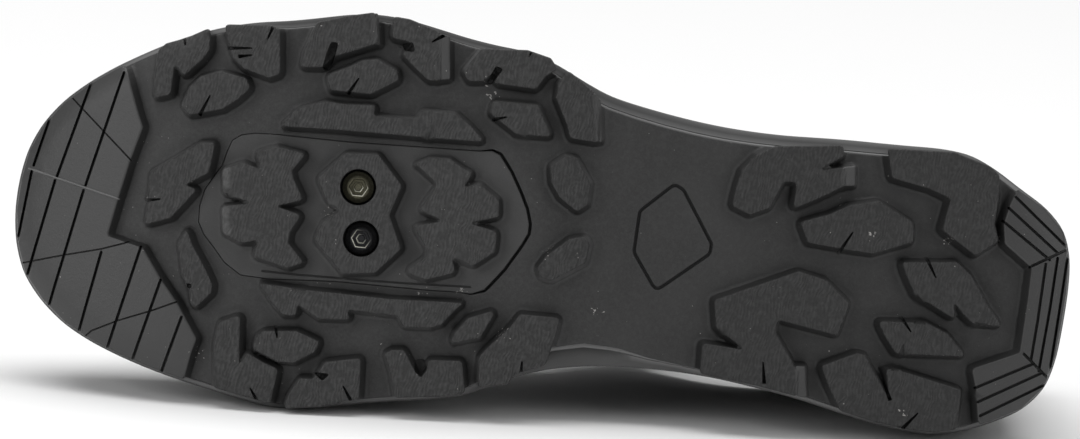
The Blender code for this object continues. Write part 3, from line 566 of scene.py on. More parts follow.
def moulding(name, border, blocks, cuts, rolled, back_depth, material, fill=3.4 * MM):
    """One closed rubber moulding: a border in plan, with blocks and cuts on its face."""
    outlines = [block.outline for block in blocks]
    first = Drawing()
    first.add(border)
    for outline in outlines:
        first.add(outline)
    points, tris = first.triangles()
    edge_loops = outer_loops(points, tris[on_face(points, tris, border, outlines)])
    edge = max(edge_loops, key=lambda loop: abs(area_of(loop)))
    edge = spread(edge if area_of(edge) > 0 else edge[::-1])

    drawing = Drawing()
    drawing.add(edge)
    drawing.add(border)
    for outline in outlines:
        near = [other for other in outlines if other is not outline and close_by(outline, other)]
        for distance, share in LUG_SIDE:
            drawing.beside(outline, distance * MM, near, FOOT_LEAN * (1 - share))
        drawing.add(outline)
    for inward in ROUND_LINES:
        drawing.beside(edge, -inward)
    for cut in cuts:
        for distance, _ in CUT_SIDE:
            drawing.beside(cut.outline, distance * MM)
            if cut.island is not None:
                drawing.beside(cut.island, -distance * MM)
    if rolled:
        for inward in ROLL_LINES:
            drawing.beside(edge, -inward)
    low, high = border.min(axis=0), border.max(axis=0)
    drawing.fill(low, high, SIDE_SPACING, SIDE_SPACING * 0.4, outlines, SIDE_REACH)
    drawing.fill(low, high, fill, fill * 0.45)
    points, tris = drawing.triangles()
    tris = tris[on_face(points, tris, border, outlines)]

    top = np.zeros(len(points))
    plate = np.zeros(len(points))
    stands = np.zeros(len(points))
    sides = np.zeros(len(points))
    away = np.zeros(len(points))
    for block in blocks:
        distance, foot, share = side_share(points, block.outline)
        stands = np.maximum(stands, share * block.heights(points))
        # Painted shade: lug sides that face the sole's middle, and the base just beside them, get a darker
        # colour through the side attribute
        shade = np.interp(share, [0.0, 0.1], [0.0, 1.0])
        shade = np.maximum(shade, np.interp(foot, [1.2, 4.2], [0.5, 0.0]))
        facing = (distance - foot) * MM / np.maximum(FOOT_LEAN * np.hypot(*points.T), 0.01 * MM)
        sides = np.maximum(sides, shade * np.interp(facing, [-0.5, 0.3], [0.0, 1.0]))
        # Painted light: lug sides that face away from the sole's middle get a lighter colour through the
        # away attribute
        shade = np.interp(share, [0.05, 0.3], [0.0, 1.0])
        away = np.maximum(away, shade * np.interp(facing, [-0.9, -0.3], [1.0, 0.0]))
        on_top = np.interp(distance, [-0.1, 0.1], [1.0, 0.0])
        if block.height < LUG_HEIGHT * 0.95 or block.slope:
            plate = np.maximum(plate, on_top)
        else:
            top = np.maximum(top, on_top)
    sides *= 1 - np.maximum(top, plate)
    away *= 1 - np.maximum(top, plate)
    # Cuts into the face get painted shade: a darker colour inside them
    groove_shade = np.zeros(len(points))
    lowered = np.zeros(len(points))
    raised = np.zeros(len(points))
    for cut in cuts:
        distance = signed_distance(points, cut.outline, 1 * MM) / MM
        if cut.island is not None:
            distance = np.maximum(distance, -signed_distance(points, cut.island) / MM)
        share = np.interp(distance, *CUT_SIDE.T)
        depth = share * cut.depth
        if cut.depth < 0:
            raised = np.maximum(raised, -depth)
            continue
        groove_shade = np.maximum(groove_shade, share * (points[:, 0] > cut.painted_shade_from))
        if cut.in_block:
            depth = np.minimum(depth, np.maximum(stands, 0.2 * MM))
        lowered = np.maximum(lowered, depth)
    lowered = np.where(raised > 0.05 * MM, 0, lowered)
    groove_shade = np.where(raised > 0.05 * MM, 0, groove_shade)
    inside = -signed_distance(points, edge)
    rounding = EDGE_ROUND * np.clip(1 - inside / EDGE_ROUND, 0, 1) ** 2 * 0.8
    level = tread_level(points[:, 0]) + LUG_HEIGHT
    into = level - stands + lowered - raised + rounding
    if rolled:
        into += edge_roll(points[:, 0], np.maximum(inside, 0))
    used = np.unique(tris)
    renumber = np.full(len(points), -1)
    renumber[used] = np.arange(len(used))
    solid = np.column_stack([points, into])[used]
    tris = renumber[tris]
    corners = [solid[tris[:, k], :2] for k in range(3)]
    turn = (corners[1] - corners[0])[:, 0] * (corners[2] - corners[0])[:, 1] \
        - (corners[1] - corners[0])[:, 1] * (corners[2] - corners[0])[:, 0]
    tris = np.where((turn > 0)[:, None], tris[:, ::-1], tris)

    bm = bmesh.new()
    values = {
        "lug_top": top, "plate": plate, "groove": groove_shade, "side": sides, "away": away,
        "ridge": raised / RIDGE_HEIGHT,
    }
    layers = [bm.verts.layers.float.new(label) for label in values]
    verts = [bm.verts.new(point) for point in in_room(solid)]
    for layer, data in zip(layers, values.values()):
        for vert, value in zip(verts, data[used]):
            vert[layer] = value
    for tri in tris:
        bm.faces.new([verts[i] for i in tri])
    mend_rim(bm)
    close_back(bm, back_depth)
    piece = finished(bm, name, material, math.radians(48))
    weight = piece.modifiers.new("even_shading", "WEIGHTED_NORMAL")
    weight.keep_sharp = True
    return piece


def finished(bm, name, material, sharp_from=None):
    """The piece that is made of a mesh under construction, smooth but for its sharp edges."""
    bmesh.ops.recalc_face_normals(bm, faces=bm.faces)
    mesh = bpy.data.meshes.new(name)
    bm.to_mesh(mesh)
    bm.free()
    mesh.shade_smooth()
    if sharp_from:
        mesh.set_sharp_from_angle(angle=sharp_from)
    return linked(name, mesh, material)


def close_by(outline, other, reach=4 * MM):
    low, high = outline.min(axis=0) - reach, outline.max(axis=0) + reach
    return bool((other.max(axis=0) > low).all() and (other.min(axis=0) < high).all())


def on_face(points, tris, border, outlines):
    """Which triangles lie inside the border or on a block."""
    middles = points[tris].mean(axis=1)
    inside = signed_distance(middles, border) < 0
    for outline in outlines:
        inside |= signed_distance(middles, outline, 0.1 * MM) < 0
    return inside


def outer_loops(points, tris):
    """The closed lines round a set of triangles."""
    ways = {}
    for tri in tris:
        for a, b in ((tri[0], tri[1]), (tri[1], tri[2]), (tri[2], tri[0])):
            ways[(int(a), int(b))] = True
    follows = {}
    for a, b in ways:
        if (b, a) not in ways:
            follows.setdefault(a, []).append(b)
    loops = []
    while follows:
        vert = next(iter(follows))
        line = []
        while vert in follows:
            line.append(points[vert])
            nexts = follows[vert]
            following = nexts.pop()
            if not nexts:
                del follows[vert]
            vert = following
        loops.append(np.array(line))
    return loops


def mend_rim(bm, sliver=1e-10):
    """Joins doubled points of an open face, clears slivers from its rim and fills slits."""
    bmesh.ops.remove_doubles(bm, verts=bm.verts, dist=SAME_POINT)
    slivers = [True]
    while slivers:
        thin = [face for face in bm.faces if face.calc_area() < sliver]
        slivers = [face for face in thin if any(edge.is_boundary for edge in face.edges)]
        bmesh.ops.delete(bm, geom=slivers, context="FACES")
    bmesh.ops.holes_fill(bm, edges=[edge for edge in bm.edges if edge.is_boundary], sides=3)


def close_back(bm, depth):
    """Gives an open face a side wall and a back, at a depth under the base's face."""
    rim = [edge for edge in bm.edges if edge.is_boundary]
    made = bmesh.ops.extrude_edge_only(bm, edges=rim)
    fresh = [g for g in made["geom"] if isinstance(g, bmesh.types.BMVert)]
    places = on_sole([v.co[:] for v in fresh])
    places[:, 2] = tread_level(places[:, 0]) + LUG_HEIGHT + depth
    for vert, place in zip(fresh, in_room(places)):
        vert.co = place
    follows = {}
    for face in (g for g in made["geom"] if isinstance(g, bmesh.types.BMFace)):
        for loop in face.loops:
            if loop.edge.is_boundary:
                follows[loop.link_loop_next.vert] = loop.vert
    while follows:
        vert = next(iter(follows))
        line = []
        while vert in follows:
            line.append(vert)
            vert = follows.pop(vert)
        span_closed(bm, line)


def span_closed(bm, verts):
    """Closes a nearly flat loop of vertices with triangles between the loop's own points.

    They spread from the largest triangle inside the loop, up to the loop.
    """
    flat = on_sole([vert.co[:] for vert in verts])[:, :2]
    count = len(verts)
    edges = [(k, (k + 1) % count) for k in range(count)]
    made = geometry.delaunay_2d_cdt([Vector(p) for p in flat], edges, [], 0, 0.0, True)
    faces = [[made[3][i][0] for i in face] for face in made[2]]
    across = {frozenset(edge): [] for edge in edges}
    for number, face in enumerate(faces):
        for side in zip(face, face[1:] + face[:1]):
            across.setdefault(frozenset(side), []).append(number)
    a, b, c = (flat[[face[k] for face in faces]] for k in range(3))
    areas = np.abs((b - a)[:, 0] * (c - a)[:, 1] - (b - a)[:, 1] * (c - a)[:, 0])
    areas[signed_distance((a + b + c) / 3, flat) > 0] = 0
    for edge in edges:
        across[frozenset(edge)] = []
    front = [int(areas.argmax())]
    found = set(front)
    while front:
        face = faces[front.pop()]
        bm.faces.new([verts[i] for i in face])
        for side in zip(face, face[1:] + face[:1]):
            others = set(across[frozenset(side)]) - found
            found |= others
            front.extend(others)


def largest(found):
    """The largest outline of some flat faces, counterclockwise, with points all along it."""
    outline = max((line for _, line in found), key=lambda line: abs(area_of(line)))
    return spread(outline if area_of(outline) > 0 else outline[::-1])


END_ROUND = 0.4 * MM
END_HEIGHT = LUG_HEIGHT * 0.66


def ends_of_lug(*lines):
    """Sloping ends of lugs: each between two lines of the sheet, high at the first one."""
    made = []
    for a, b, c, d in lines:
        corners = on_plan(a, b, c, d)
        middles = (corners[0] + corners[1]) / 2, (corners[2] + corners[3]) / 2
        made.append(Block(softened(corners, END_ROUND), LUG_HEIGHT, (*middles, END_HEIGHT)))
    return made


sole_out = Vector(back)


def raised_blocks(node, above, below, height):
    """The blocks on a CAD node whose tops lie between two heights into the sole."""
    return [
        Block(softened(cleaned(line), CORNER_ROUND), height)
        for level, line in flat_faces(frame["nodes"][node], sole_out) if above <= level < below
    ]


lugs = raised_blocks("outsole", -np.inf, LUG_LEVEL, LUG_HEIGHT)
bumpers = raised_blocks("outsole", LUG_LEVEL, BUMPER_LEVEL, BUMPER_HEIGHT)
sloping_ends = ends_of_lug(
    ((371, 14), (374, 44), (380, 45), (378, 13)), ((439, 33), (440, 80), (450, 79), (450, 36)),
    ((594, 95), (596, 142), (602, 142), (601, 100)), ((842, 167), (842, 186), (856, 186), (856, 166)),
    ((795, 366), (796, 396), (807, 398), (806, 366)),
)
TOE_GROOVE = 0.68 * MM
TOE_GROOVE_DEPTH = 1.6 * MM
toe_grooves = [
    ((48, 116), (31, 165)), ((29, 171), (14, 243)), ((90, 81), (55, 176)), ((53, 180), (24, 277)),
    ((123, 72), (84, 185)), ((82, 190), (46, 308)), ((100, 252), (77, 332)), ((140, 247), (106, 348)),
    ((160, 280), (131, 361)), ((181, 317), (161, 371)),
]
CROSS_GROOVE = 0.35 * MM
CROSS_GROOVE_DEPTH = 0.7 * MM
cross_grooves = [
    ((71, 98), (130, 160)), ((20, 263), (60, 255.5), (100, 249), (128, 242)),
    ((84, 336), (90, 331), (116, 321), (150, 311), (176, 302)),
]
cross_ridge = ((26, 168), (118, 199))
SIPE_MOUTH = 1.0 * MM
SIPE_END = 0.3 * MM
SIPE_DEPTH = 2.2 * MM
SIPE_SPACING = 0.7 * MM


def sipe(places):
    """A wedge cut into a lug, widest at its end nearer to the lug's edge."""
    ends = on_plan(*places)
    to_edge = np.min([np.abs(signed_distance(ends, lug.outline)) for lug in lugs], axis=0)
    mouth, end = ends if to_edge[0] < to_edge[1] else ends[::-1]
    run = (end - mouth) / np.hypot(*(end - mouth))
    side = np.array([run[1], -run[0]]) / 2
    mouth = mouth - run * SIPE_MOUTH
    wide, narrow = side * SIPE_MOUTH, side * SIPE_END
    wedge = np.array([mouth + wide, end + narrow, end - narrow, mouth - wide])
    return Cut(spread(wedge, SIPE_SPACING), SIPE_DEPTH)


HEEL_GROOVE = 0.66 * MM
HEEL_GROOVE_DEPTH = 1.4 * MM
heel_grooves = [
    ((1016, 197), (1068, 248)), ((1009, 208), (1059, 254)), ((1003, 221), (1050, 260)),
    ((1046, 264), (1038, 320), (1031, 361)), ((1058, 258), (1050, 310), (1039, 371)),
    ((1069, 251), (1060, 310), (1049, 378)), ((975, 388), (1033, 364)), ((978, 402), (1042, 373)),
    ((980, 416), (1051, 382)), ((1030, 267), (1071, 248)), ((1024, 354), (1053, 383)),
]
sipes = [
    ((184, 36), (185, 47)), ((230, 48), (252, 48)), ((242, 56), (252, 55)), ((273, 27), (267, 40)),
    ((432, 42), (441, 37)), ((529, 57), (532, 51)), ((201, 112), (210, 95)), ((350, 91), (359, 78)),
    ((496, 119), (507, 117)), ((148, 200), (160, 199)), ((276, 329), (277, 338)), ((250, 388), (256, 399)),
    ((343, 386), (350, 399)), ((522, 361), (521, 372)), ((840, 251), (853, 232)), ((763, 362), (764, 380)),
    ((905, 426), (918, 413)), ((928, 261), (936, 278)), ((903, 320), (911, 332)), ((878, 366), (889, 397)),
]
PIT_ROUND = 0.5 * MM
PIT_DEPTH = 2.6 * MM
pits = [
    ((402, 44), (413, 42), (415, 52), (405, 51)), ((186, 283), (191, 284), (191, 288), (187, 288)),
    ((313, 372), (330, 374), (322, 381)), ((415, 360), (424, 359), (427, 368), (421, 378), (414, 371)),
    ((331, 42), (338.5, 42.5), (334.5, 58), (330, 70), (322, 69), (326, 55)),
    ((486, 83), (491.5, 84), (503.5, 69), (496, 66)),
]
cuts = [groove(line, TOE_GROOVE, TOE_GROOVE_DEPTH) for line in toe_grooves]
cuts += [groove(line, CROSS_GROOVE, CROSS_GROOVE_DEPTH) for line in cross_grooves]
cuts += [groove(line, HEEL_GROOVE, HEEL_GROOVE_DEPTH) for line in heel_grooves]
cuts.append(groove(cross_ridge, RIDGE_WIDTH, -RIDGE_HEIGHT))
cuts += [sipe(line) for line in sipes]
cuts += [Cut(softened(on_plan(*pit), PIT_ROUND), PIT_DEPTH) for pit in pits]

# A bare diamond, only its outline cut into the base under the arch
DIAMOND_GROOVE = 0.8 * MM
DIAMOND_DEPTH = 0.9 * MM
diamond = softened(
    on_plan((675, 184), (640, 211), (634, 252), (656, 291), (710, 254), (712, 244), (684, 190)), 1.2 * MM
)
outer_drawing, inner_drawing = Drawing(), Drawing()
outer_drawing.beside(diamond, DIAMOND_GROOVE / 2)
inner_drawing.beside(diamond, -DIAMOND_GROOVE / 2)
outer_edge, inner_edge = np.array(outer_drawing.points), np.array(inner_drawing.points)
cuts.append(Cut(outer_edge, DIAMOND_DEPTH, False, inner_edge))

# The pocket for the cleat cover fits close, but for an open groove at its heel end
COVER_FIT = 0.06 * MM
COVER_GROOVE = 0.75 * MM
COVER_ROUND = 0.3 * MM
cover_line = largest(flat_faces(frame["nodes"]["cleat_cover"], -sole_out))
cover_edge = softened(cleaned(cover_line), COVER_ROUND)
groove_start, groove_full = on_plan((478, 152), (500, 160))[:, 0]
opening = COVER_FIT + (COVER_GROOVE - COVER_FIT) * np.clip(
    (cover_edge[:, 0] - groove_start) / (groove_full - groove_start), 0, 1
)
# The pocket's sides get painted shade only from the groove's start on towards the heel
cuts.append(Cut(offset(cover_edge, opening[:, None]), POCKET_DEPTH, in_block=False, painted_shade_from=groove_start))

# Specks of dust lie here and there on the rubber
dust_places = [
    (485, 83), (492, 94), (548, 250), (576, 254), (423, 291), (460, 291), (502, 332), (198, 354),
    (599, 310), (840, 202), (872, 236), (330, 212), (950, 242), (905, 412),
]

# The cover's front star is painted pale along its toe side: scuffing, and a painted highlight as on a lit
# sloping end
scuff_and_highlight_places = [
    (226, 170), (226, 175), (226, 180), (226, 185), (225, 211), (224, 216), (224, 221), (225, 226),
    (227, 231),
]
TEXTURE_PITCH = 0.95 * MM
TEXTURE_SLANT = 0.16
TEXTURE_SWAY = 30


def tread_rubber(name, dust, base_tone=1.0):
    """Matt rubber: broken wavy lines on the lugs' tops, smooth bumpers, a faintly mottled base."""
    rubber = Finish(name, specular_ior_level=0.35)
    lengthwise, crosswise = rubber.along(ALONG), rubber.along(ACROSS)
    sway = rubber.noise(7 * MM, 2.0) * (TEXTURE_SWAY / (2 * math.pi) * TEXTURE_PITCH)
    lines = rubber.waves(lengthwise + crosswise * TEXTURE_SLANT + sway, TEXTURE_PITCH) * 0.5 + 0.5
    pebble = rubber.noise(1.2 * MM, 2.0)
    grain = rubber.noise(0.5 * MM, 3.0)
    mottle = rubber.noise(14 * MM, 4.0)
    broken = rubber.noise(2.6 * MM, 2.0).rise(0.38, 0.58)
    ridges = lines * (broken * 0.75 + 0.25)
    top = rubber.attribute("lug_top")
    plate = rubber.attribute("plate")
    colour = rubber.mixed(mottle.rise(0.3, 0.7), grey(0.027 * base_tone), grey(0.037 * base_tone))
    colour = rubber.mixed(grain.rise(0.30, 0.70) * 0.5, colour, grey(0.050))
    colour = rubber.mixed(pebble.rise(0.45, 0.68) * 0.35, colour, grey(0.056))
    # The lugs' tops are painted lighter on the crests of their lines and pebbles and darker between them:
    # painted light and shade that bring out the relief
    lug_colour = rubber.mixed(ridges * 0.5 + pebble.rise(0.40, 0.64) * 0.5, grey(0.022), grey(0.052))
    colour = rubber.mixed(top * 0.9, colour, lug_colour)
    colour = rubber.mixed(plate * 0.9, colour, grey(0.048))
    heelward = lengthwise.rise(-35 * MM, 45 * MM) * (1 - plate * 0.8)
    # Painted light: lug sides that face away from the sole's middle are lighter. Painted shade: sides that
    # face it, and the base beside them, are darker.
    colour = rubber.mixed(rubber.attribute("away") * 0.85, colour, grey(0.085))
    colour = rubber.mixed(rubber.attribute("side") * 0.9, colour, grey(0.012))
    colour = rubber.mixed(heelward * 0.26, colour, grey(0.006))
    # Scuffing and a painted highlight along the front star's toe side
    outside_scuff_and_highlight = 1.0
    for place in scuff_and_highlight_places:
        outside_scuff_and_highlight = outside_scuff_and_highlight * rubber.apart(place).rise(0.5 * MM, 1.7 * MM)
    wear_and_highlight = (1 - outside_scuff_and_highlight) * top * (pebble.rise(0.35, 0.6) * 0.4 + 0.5)
    colour = rubber.mixed(wear_and_highlight, colour, grey(0.084))
    dusty = 1.0
    for place in dust_places:
        dusty = dusty * rubber.apart(place).rise(0.8 * MM, 3.2 * MM)
    speck = (rubber.noise(0.8 * MM, 1.0) + (1 - dusty) * 0.15).rise(0.78, 0.83)
    colour = rubber.mixed(speck * dust, colour, grey(0.34, 0.03))
    colour = rubber.mixed(rubber.attribute("ridge"), colour, grey(0.115))
    # Painted shade: grooves, pits, wells and the pocket's sides are darker
    colour = rubber.mixed(rubber.attribute("groove"), colour, grey(0.011))
    height = ridges * top * (0.16 * MM) + pebble * (top * 0.16 + 0.05) * MM + grain * (0.05 * MM)
    rubber.paint(
        base_color=colour, roughness=(top * 0.10 - plate * 0.16) + mottle * 0.1 + 0.52,
        normal=rubber.raised(height),
    )
    return rubber.material


outsole_line = largest(flat_faces(frame["nodes"]["outsole"], -sole_out))
outsole = moulding(
    "outsole_tread", outsole_line, lugs + sloping_ends + bumpers, cuts, True, OUTSOLE_BASE,
    tread_rubber("outsole_rubber", 0.8),
)
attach(outsole, "root")
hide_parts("outsole")


# The cleat cover is a rubber plate of its own, screwed into a pocket of the outsole. Two star
# lugs and two hexagon bosses stand on it. Each boss holds a deep round well for a screw.
COVER_THICKNESS = 2.3 * MM
WELL_RADIUS = 4.9 * MM
WELL_DEPTH = 5.6 * MM
screw_places = {}
for name in ("cover_screw_outer", "cover_screw_inner"):
    low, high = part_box(name)
    screw_places[name] = on_sole([(low + high) / 2])[0][:2]


def circle(middle, radius, steps=40):
    turns = np.arange(steps) * 2 * math.pi / steps
    return np.array(middle) + radius * np.stack([np.cos(turns), np.sin(turns)], axis=1)


cover_blocks = raised_blocks("cleat_cover", -np.inf, LUG_LEVEL, LUG_HEIGHT)
wells = [Cut(circle(place, WELL_RADIUS), WELL_DEPTH, in_block=False) for place in screw_places.values()]
# A shallow line along the cover's inner side
rim_line = groove(((262, 271), (300, 275), (400, 283), (470, 287)), 0.5 * MM, 0.4 * MM)
cover = moulding(
    "cleat_cover_plate", cover_edge, cover_blocks, wells + [rim_line], False, COVER_THICKNESS,
    tread_rubber("cover_rubber", 0.7, 1.7), fill=2.6 * MM,
)
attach(cover, "root")
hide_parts("cleat_cover")


# The screws are steel, with low round heads turned on a lathe. Each has a pressed hexagon key
# hole with a small ridge at its bottom. The outer one is a little yellow, as if zinc plated, and
# the inner one is blackened.

# Profile of a head from its middle outwards: radius in mm, depth under its face in mm, number of
# sides (0 if round), and how bright its edge is painted, for wear and a painted glint
SCREW_HEAD = [
    (0.95, 1.5, 6, 0.0), (1.22, 1.05, 6, 0.5), (1.42, 1.0, 6, 1.0), (1.62, 1.5, 6, 0.0),
    (2.30, 1.5, 6, 0.0), (2.46, 0.18, 6, 0.2), (2.58, 0.0, 6, 1.0), (2.76, 0.0, 6, 0.6),
    (2.86, 0.04, 6, 0.0), (3.0, 0.1, 0, 0.0), (3.3, 0.3, 0, 0.0), (3.6, 0.5, 0, 0.0),
    (4.2, 0.75, 0, 0.0), (4.3, 0.95, 0, 0.0), (4.3, 2.3, 0, 0.0),
]
KEY_TURN = math.radians(30)
SCREW_FACE = 2.9 * MM
SCREW_STEPS = 48
WORN_STEEL_AND_GLINT = (0.95, 0.94, 0.82, 1.0)


def wall(bm, rings):
    """Faces between rings of vertices that follow each other."""
    for low, high in zip(rings, rings[1:]):
        for k in range(len(low)):
            bm.faces.new((low[k], low[k - 1], high[k - 1], high[k]))


def screw(name, material, glint_side, evenness):
    """A screw head. Its key's edges are painted bright, for wear and a painted glint that is strongest
    towards one side.
    """
    bm = bmesh.new()
    wear_and_glint_layer = bm.verts.layers.float.new("wear_and_highlight")
    middle = screw_places[name]
    level = float(tread_level(middle[0])) + SCREW_FACE
    loops = []
    for radius, depth, sides, wear_and_highlight in SCREW_HEAD:
        points, shine = [], []
        for k in range(SCREW_STEPS):
            turn = 2 * math.pi * k / SCREW_STEPS
            reach = radius
            if sides:
                part = math.pi / sides
                reach = radius * math.cos(part) / math.cos((turn + KEY_TURN + part) % (2 * part) - part)
            points.append([
                middle[0] + reach * MM * math.cos(turn), middle[1] + reach * MM * math.sin(turn),
                level + depth * MM,
            ])
            # The painted glint on the key's edges is strongest on one side
            facing = math.cos(turn) * glint_side[0] + math.sin(turn) * glint_side[1]
            shine.append(wear_and_highlight * min(1.0, max(0.0, evenness + facing)))
        loops.append([bm.verts.new(point) for point in in_room(points)])
        for vert, value in zip(loops[-1], shine):
            vert[wear_and_glint_layer] = value
    wall(bm, loops)
    bm.faces.new(loops[0])
    bm.faces.new(loops[-1])
    piece = finished(bm, name + "_head", material, math.radians(30))
    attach(piece, "root")
    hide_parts(name)


def steel(name, colour):
    """Finely scratched steel, painted bright where its edges have wear and a painted glint."""
    metal = Finish(name, metallic=1.0)
    scratches = metal.noise(0.35 * MM, 2.0)
    tone = metal.mixed(scratches.rise(0.35, 0.7), colour, tuple(c * 1.5 for c in colour[:3]) + (1.0,))
    metal.paint(
        base_color=metal.mixed(metal.attribute("wear_and_highlight"), tone, WORN_STEEL_AND_GLINT),
        roughness=scratches * 0.2 + 0.42, normal=metal.raised(scratches * (0.008 * MM)),
    )
    return metal.material


screw("cover_screw_outer", steel("plated_steel", (0.125, 0.120, 0.086, 1.0)), (0.35, 0.9), 0.15)
screw("cover_screw_inner", steel("blackened_steel", (0.045, 0.045, 0.047, 1.0)), (-0.5, 0.5), 0.55)


# The midsole is grey moulded foam, cemented to the outsole. From below it shows as a band beside
# the outsole, with a lighter lip next to the rubber. Ribs run round its side up to the upper.
FOREFOOT_MIDSOLE = 6.0 * MM
HEEL_MIDSOLE = 13.0 * MM
MIDSOLE_RISE = (0.42, 0.80)
LAYER_GAP = 0.3 * MM
MIDSOLE_FOOT_INSET = 1.4 * MM
MIDSOLE_POINTS = 360
# Below this height the foam gives way to the floor
FLOOR_EASE = 0.6 * MM


def soften_step(value, low, high):
    """0 up to low and 1 from high, with a smooth step between them."""
    share = np.clip((value - low) / (high - low), 0, 1)
    return share * share * (3 - 2 * share)


def midsole_thickness(x):
    share = soften_step(x / SOLE_LENGTH + 0.5, *MIDSOLE_RISE)
    return FOREFOOT_MIDSOLE + (HEEL_MIDSOLE - FOREFOOT_MIDSOLE) * share


def evened(loop, count):
    """The same closed line as count points at even distances, a little smoothed."""
    closed = np.vstack([loop, loop[:1]])
    lengths = np.concatenate([[0], np.cumsum(np.hypot(*np.diff(closed, axis=0).T))])
    places = np.linspace(0, lengths[-1], count, endpoint=False)
    line = np.stack([np.interp(places, lengths, closed[:, k]) for k in range(2)], axis=1)
    for _ in range(4):
        line = (np.roll(line, 1, axis=0) + 2 * line + np.roll(line, -1, axis=0)) / 4
    return line


# The lip is this wide, and less bright round the toe than from there on
LIP_END = 1.5 * MM
LIP_FADE = 0.4 * MM
LIP_TOE = (-132 * MM, -110 * MM)
LIP_TOE_SHADE = 0.3
LIP_LEVEL = 0.2
# Side of the midsole from below to above: share of the way from the outsole's edge (0) to the
# sole's edge (1), inset in mm, share of the height
MIDSOLE_SIDE = [
    (0.0, 7.0, 0.0), (0.0, 0.9, 0.0), (0.0, 0.3, 0.0), (0.09, 0.3, 0.0), (0.17, 0.3, 0.012),
    (0.21, 0.3, 0.05), (0.25, 0.3, 0.03), (0.60, 0.3, 0.06), (0.88, 0.3, 0.10), (0.96, 0.3, 0.13),
    (1.0, 0.42, 0.17),
    (1.0, 0.42, 0.33), (1.0, 0.70, 0.355), (1.0, 1.05, 0.38), (1.0, 1.05, 0.46), (1.0, 0.70, 0.485),
    (1.0, 0.42, 0.51), (1.0, 0.40, 0.60), (1.0, 0.62, 0.61), (1.0, 0.62, 0.625), (1.0, 0.42, 0.635),
    (1.0, 0.46, 0.72), (1.0, 0.68, 0.73), (1.0, 0.68, 0.745), (1.0, 0.50, 0.755), (1.0, 0.60, 0.86),
    (1.0, 0.80, 0.93), (1.0, 1.2, 0.985), (1.0, 1.8, 1.0), (1.0, 7.0, 1.0),
]
foot_line = largest(flat_faces(frame["nodes"]["midsole"], sole_out))
sole_edge = offset(evened(foot_line, MIDSOLE_POINTS), MIDSOLE_FOOT_INSET)
shelf = np.maximum(signed_distance(sole_edge, outsole_line), 0.0)
bm = bmesh.new()
lip_layer = bm.verts.layers.float.new("lip")
loops = []
for out, inset, share in MIDSOLE_SIDE:
    line = offset(sole_edge, -(inset * MM + shelf * (1 - out))[:, None])
    level = tread_level(line[:, 0]) + LUG_HEIGHT + OUTSOLE_BASE + LAYER_GAP
    level = level + midsole_thickness(line[:, 0]) * share
    places = in_room(np.column_stack([line, level]))
    low = places[:, 2] < FLOOR_EASE
    places[low, 2] = FLOOR_EASE * np.exp(places[low, 2] / FLOOR_EASE - 1)
    loops.append([bm.verts.new(point) for point in places])
    lip = np.clip((LIP_END - shelf * out) / LIP_FADE, 0, 1) * (share < LIP_LEVEL)
    lip *= np.interp(line[:, 0], LIP_TOE, [LIP_TOE_SHADE, 1.0])
    for vert, value in zip(loops[-1], lip):
        vert[lip_layer] = value
wall(bm, loops)
for loop in (loops[0], loops[-1]):
    span_closed(bm, loop)
foam = Finish("midsole_foam", specular_ior_level=0.4)
cloud = foam.noise(12 * MM, 3.0)
pores = foam.noise(0.5 * MM, 2.0)
tone = foam.mixed(cloud, grey(0.056), grey(0.074))
foam.paint(
    base_color=foam.mixed(foam.attribute("lip"), tone, grey(0.165)),
    roughness=cloud * 0.12 + 0.48, normal=foam.raised(pores * (0.02 * MM)),
)
midsole = finished(bm, "midsole_band", foam.material, math.radians(50))
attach(midsole, "root")
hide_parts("midsole")


# The insole is a foam sheet under brushed cloth, pressed warm into a shallow foot shape. It lies
# loose on the midsole.
SHARP_EDGE = math.radians(55)
EDGE_CREASE = 0.32
RIM_SPACING = 0.5 * MM


def finer_mesh(node, levels):
    """A CAD node's mesh divided smoothly, its edges kept, and points along those edges."""
    bm = bmesh.new()
    bm.from_mesh(frame["nodes"][node].data)
    bmesh.ops.remove_doubles(bm, verts=bm.verts, dist=SAME_POINT)
    bmesh.ops.join_triangles(
        bm, faces=bm.faces, angle_face_threshold=math.radians(50),
        angle_shape_threshold=math.radians(80),
    )
    crease = bm.edges.layers.float.new("crease_edge")
    rim = []
    for edge in bm.edges:
        if len(edge.link_faces) == 2 and edge.calc_face_angle() > SHARP_EDGE:
            edge[crease] = EDGE_CREASE
            count = math.ceil(edge.calc_length() / RIM_SPACING) + 1
            start, end = (vert.co for vert in edge.verts)
            rim += [start.lerp(end, share) for share in np.linspace(0, 1, count)]
    mesh = bpy.data.meshes.new(node)
    bm.to_mesh(mesh)
    bm.free()
    draft = linked(node + "_draft", mesh)
    smoother = draft.modifiers.new("smooth", "SUBSURF")
    smoother.levels = smoother.render_levels = levels
    bpy.context.view_layer.update()
    finer = bpy.data.meshes.new_from_object(draft.evaluated_get(bpy.context.evaluated_depsgraph_get()))
    bpy.data.objects.remove(draft)
    return finer, on_sole(rim)


def points_of(mesh):
    """The vertices of a mesh as points along, across and into the sole, and their directions out."""
    places = np.zeros(len(mesh.vertices) * 3)
    normals = np.zeros(len(mesh.vertices) * 3)
    mesh.vertices.foreach_get("co", places)
    mesh.vertices.foreach_get("normal", normals)
    turn = np.array([ALONG, ACROSS, INWARD]).T
    return on_sole(places.reshape(-1, 3)), normals.reshape(-1, 3) @ turn


def reshape(mesh, points):
    """Moves a mesh's vertices. Soft parts flatten where they would pass the floor."""
    places = in_room(points)
    places[:, 2] = np.maximum(places[:, 2], 0)
    mesh.vertices.foreach_set("co", places.ravel())
    mesh.update()


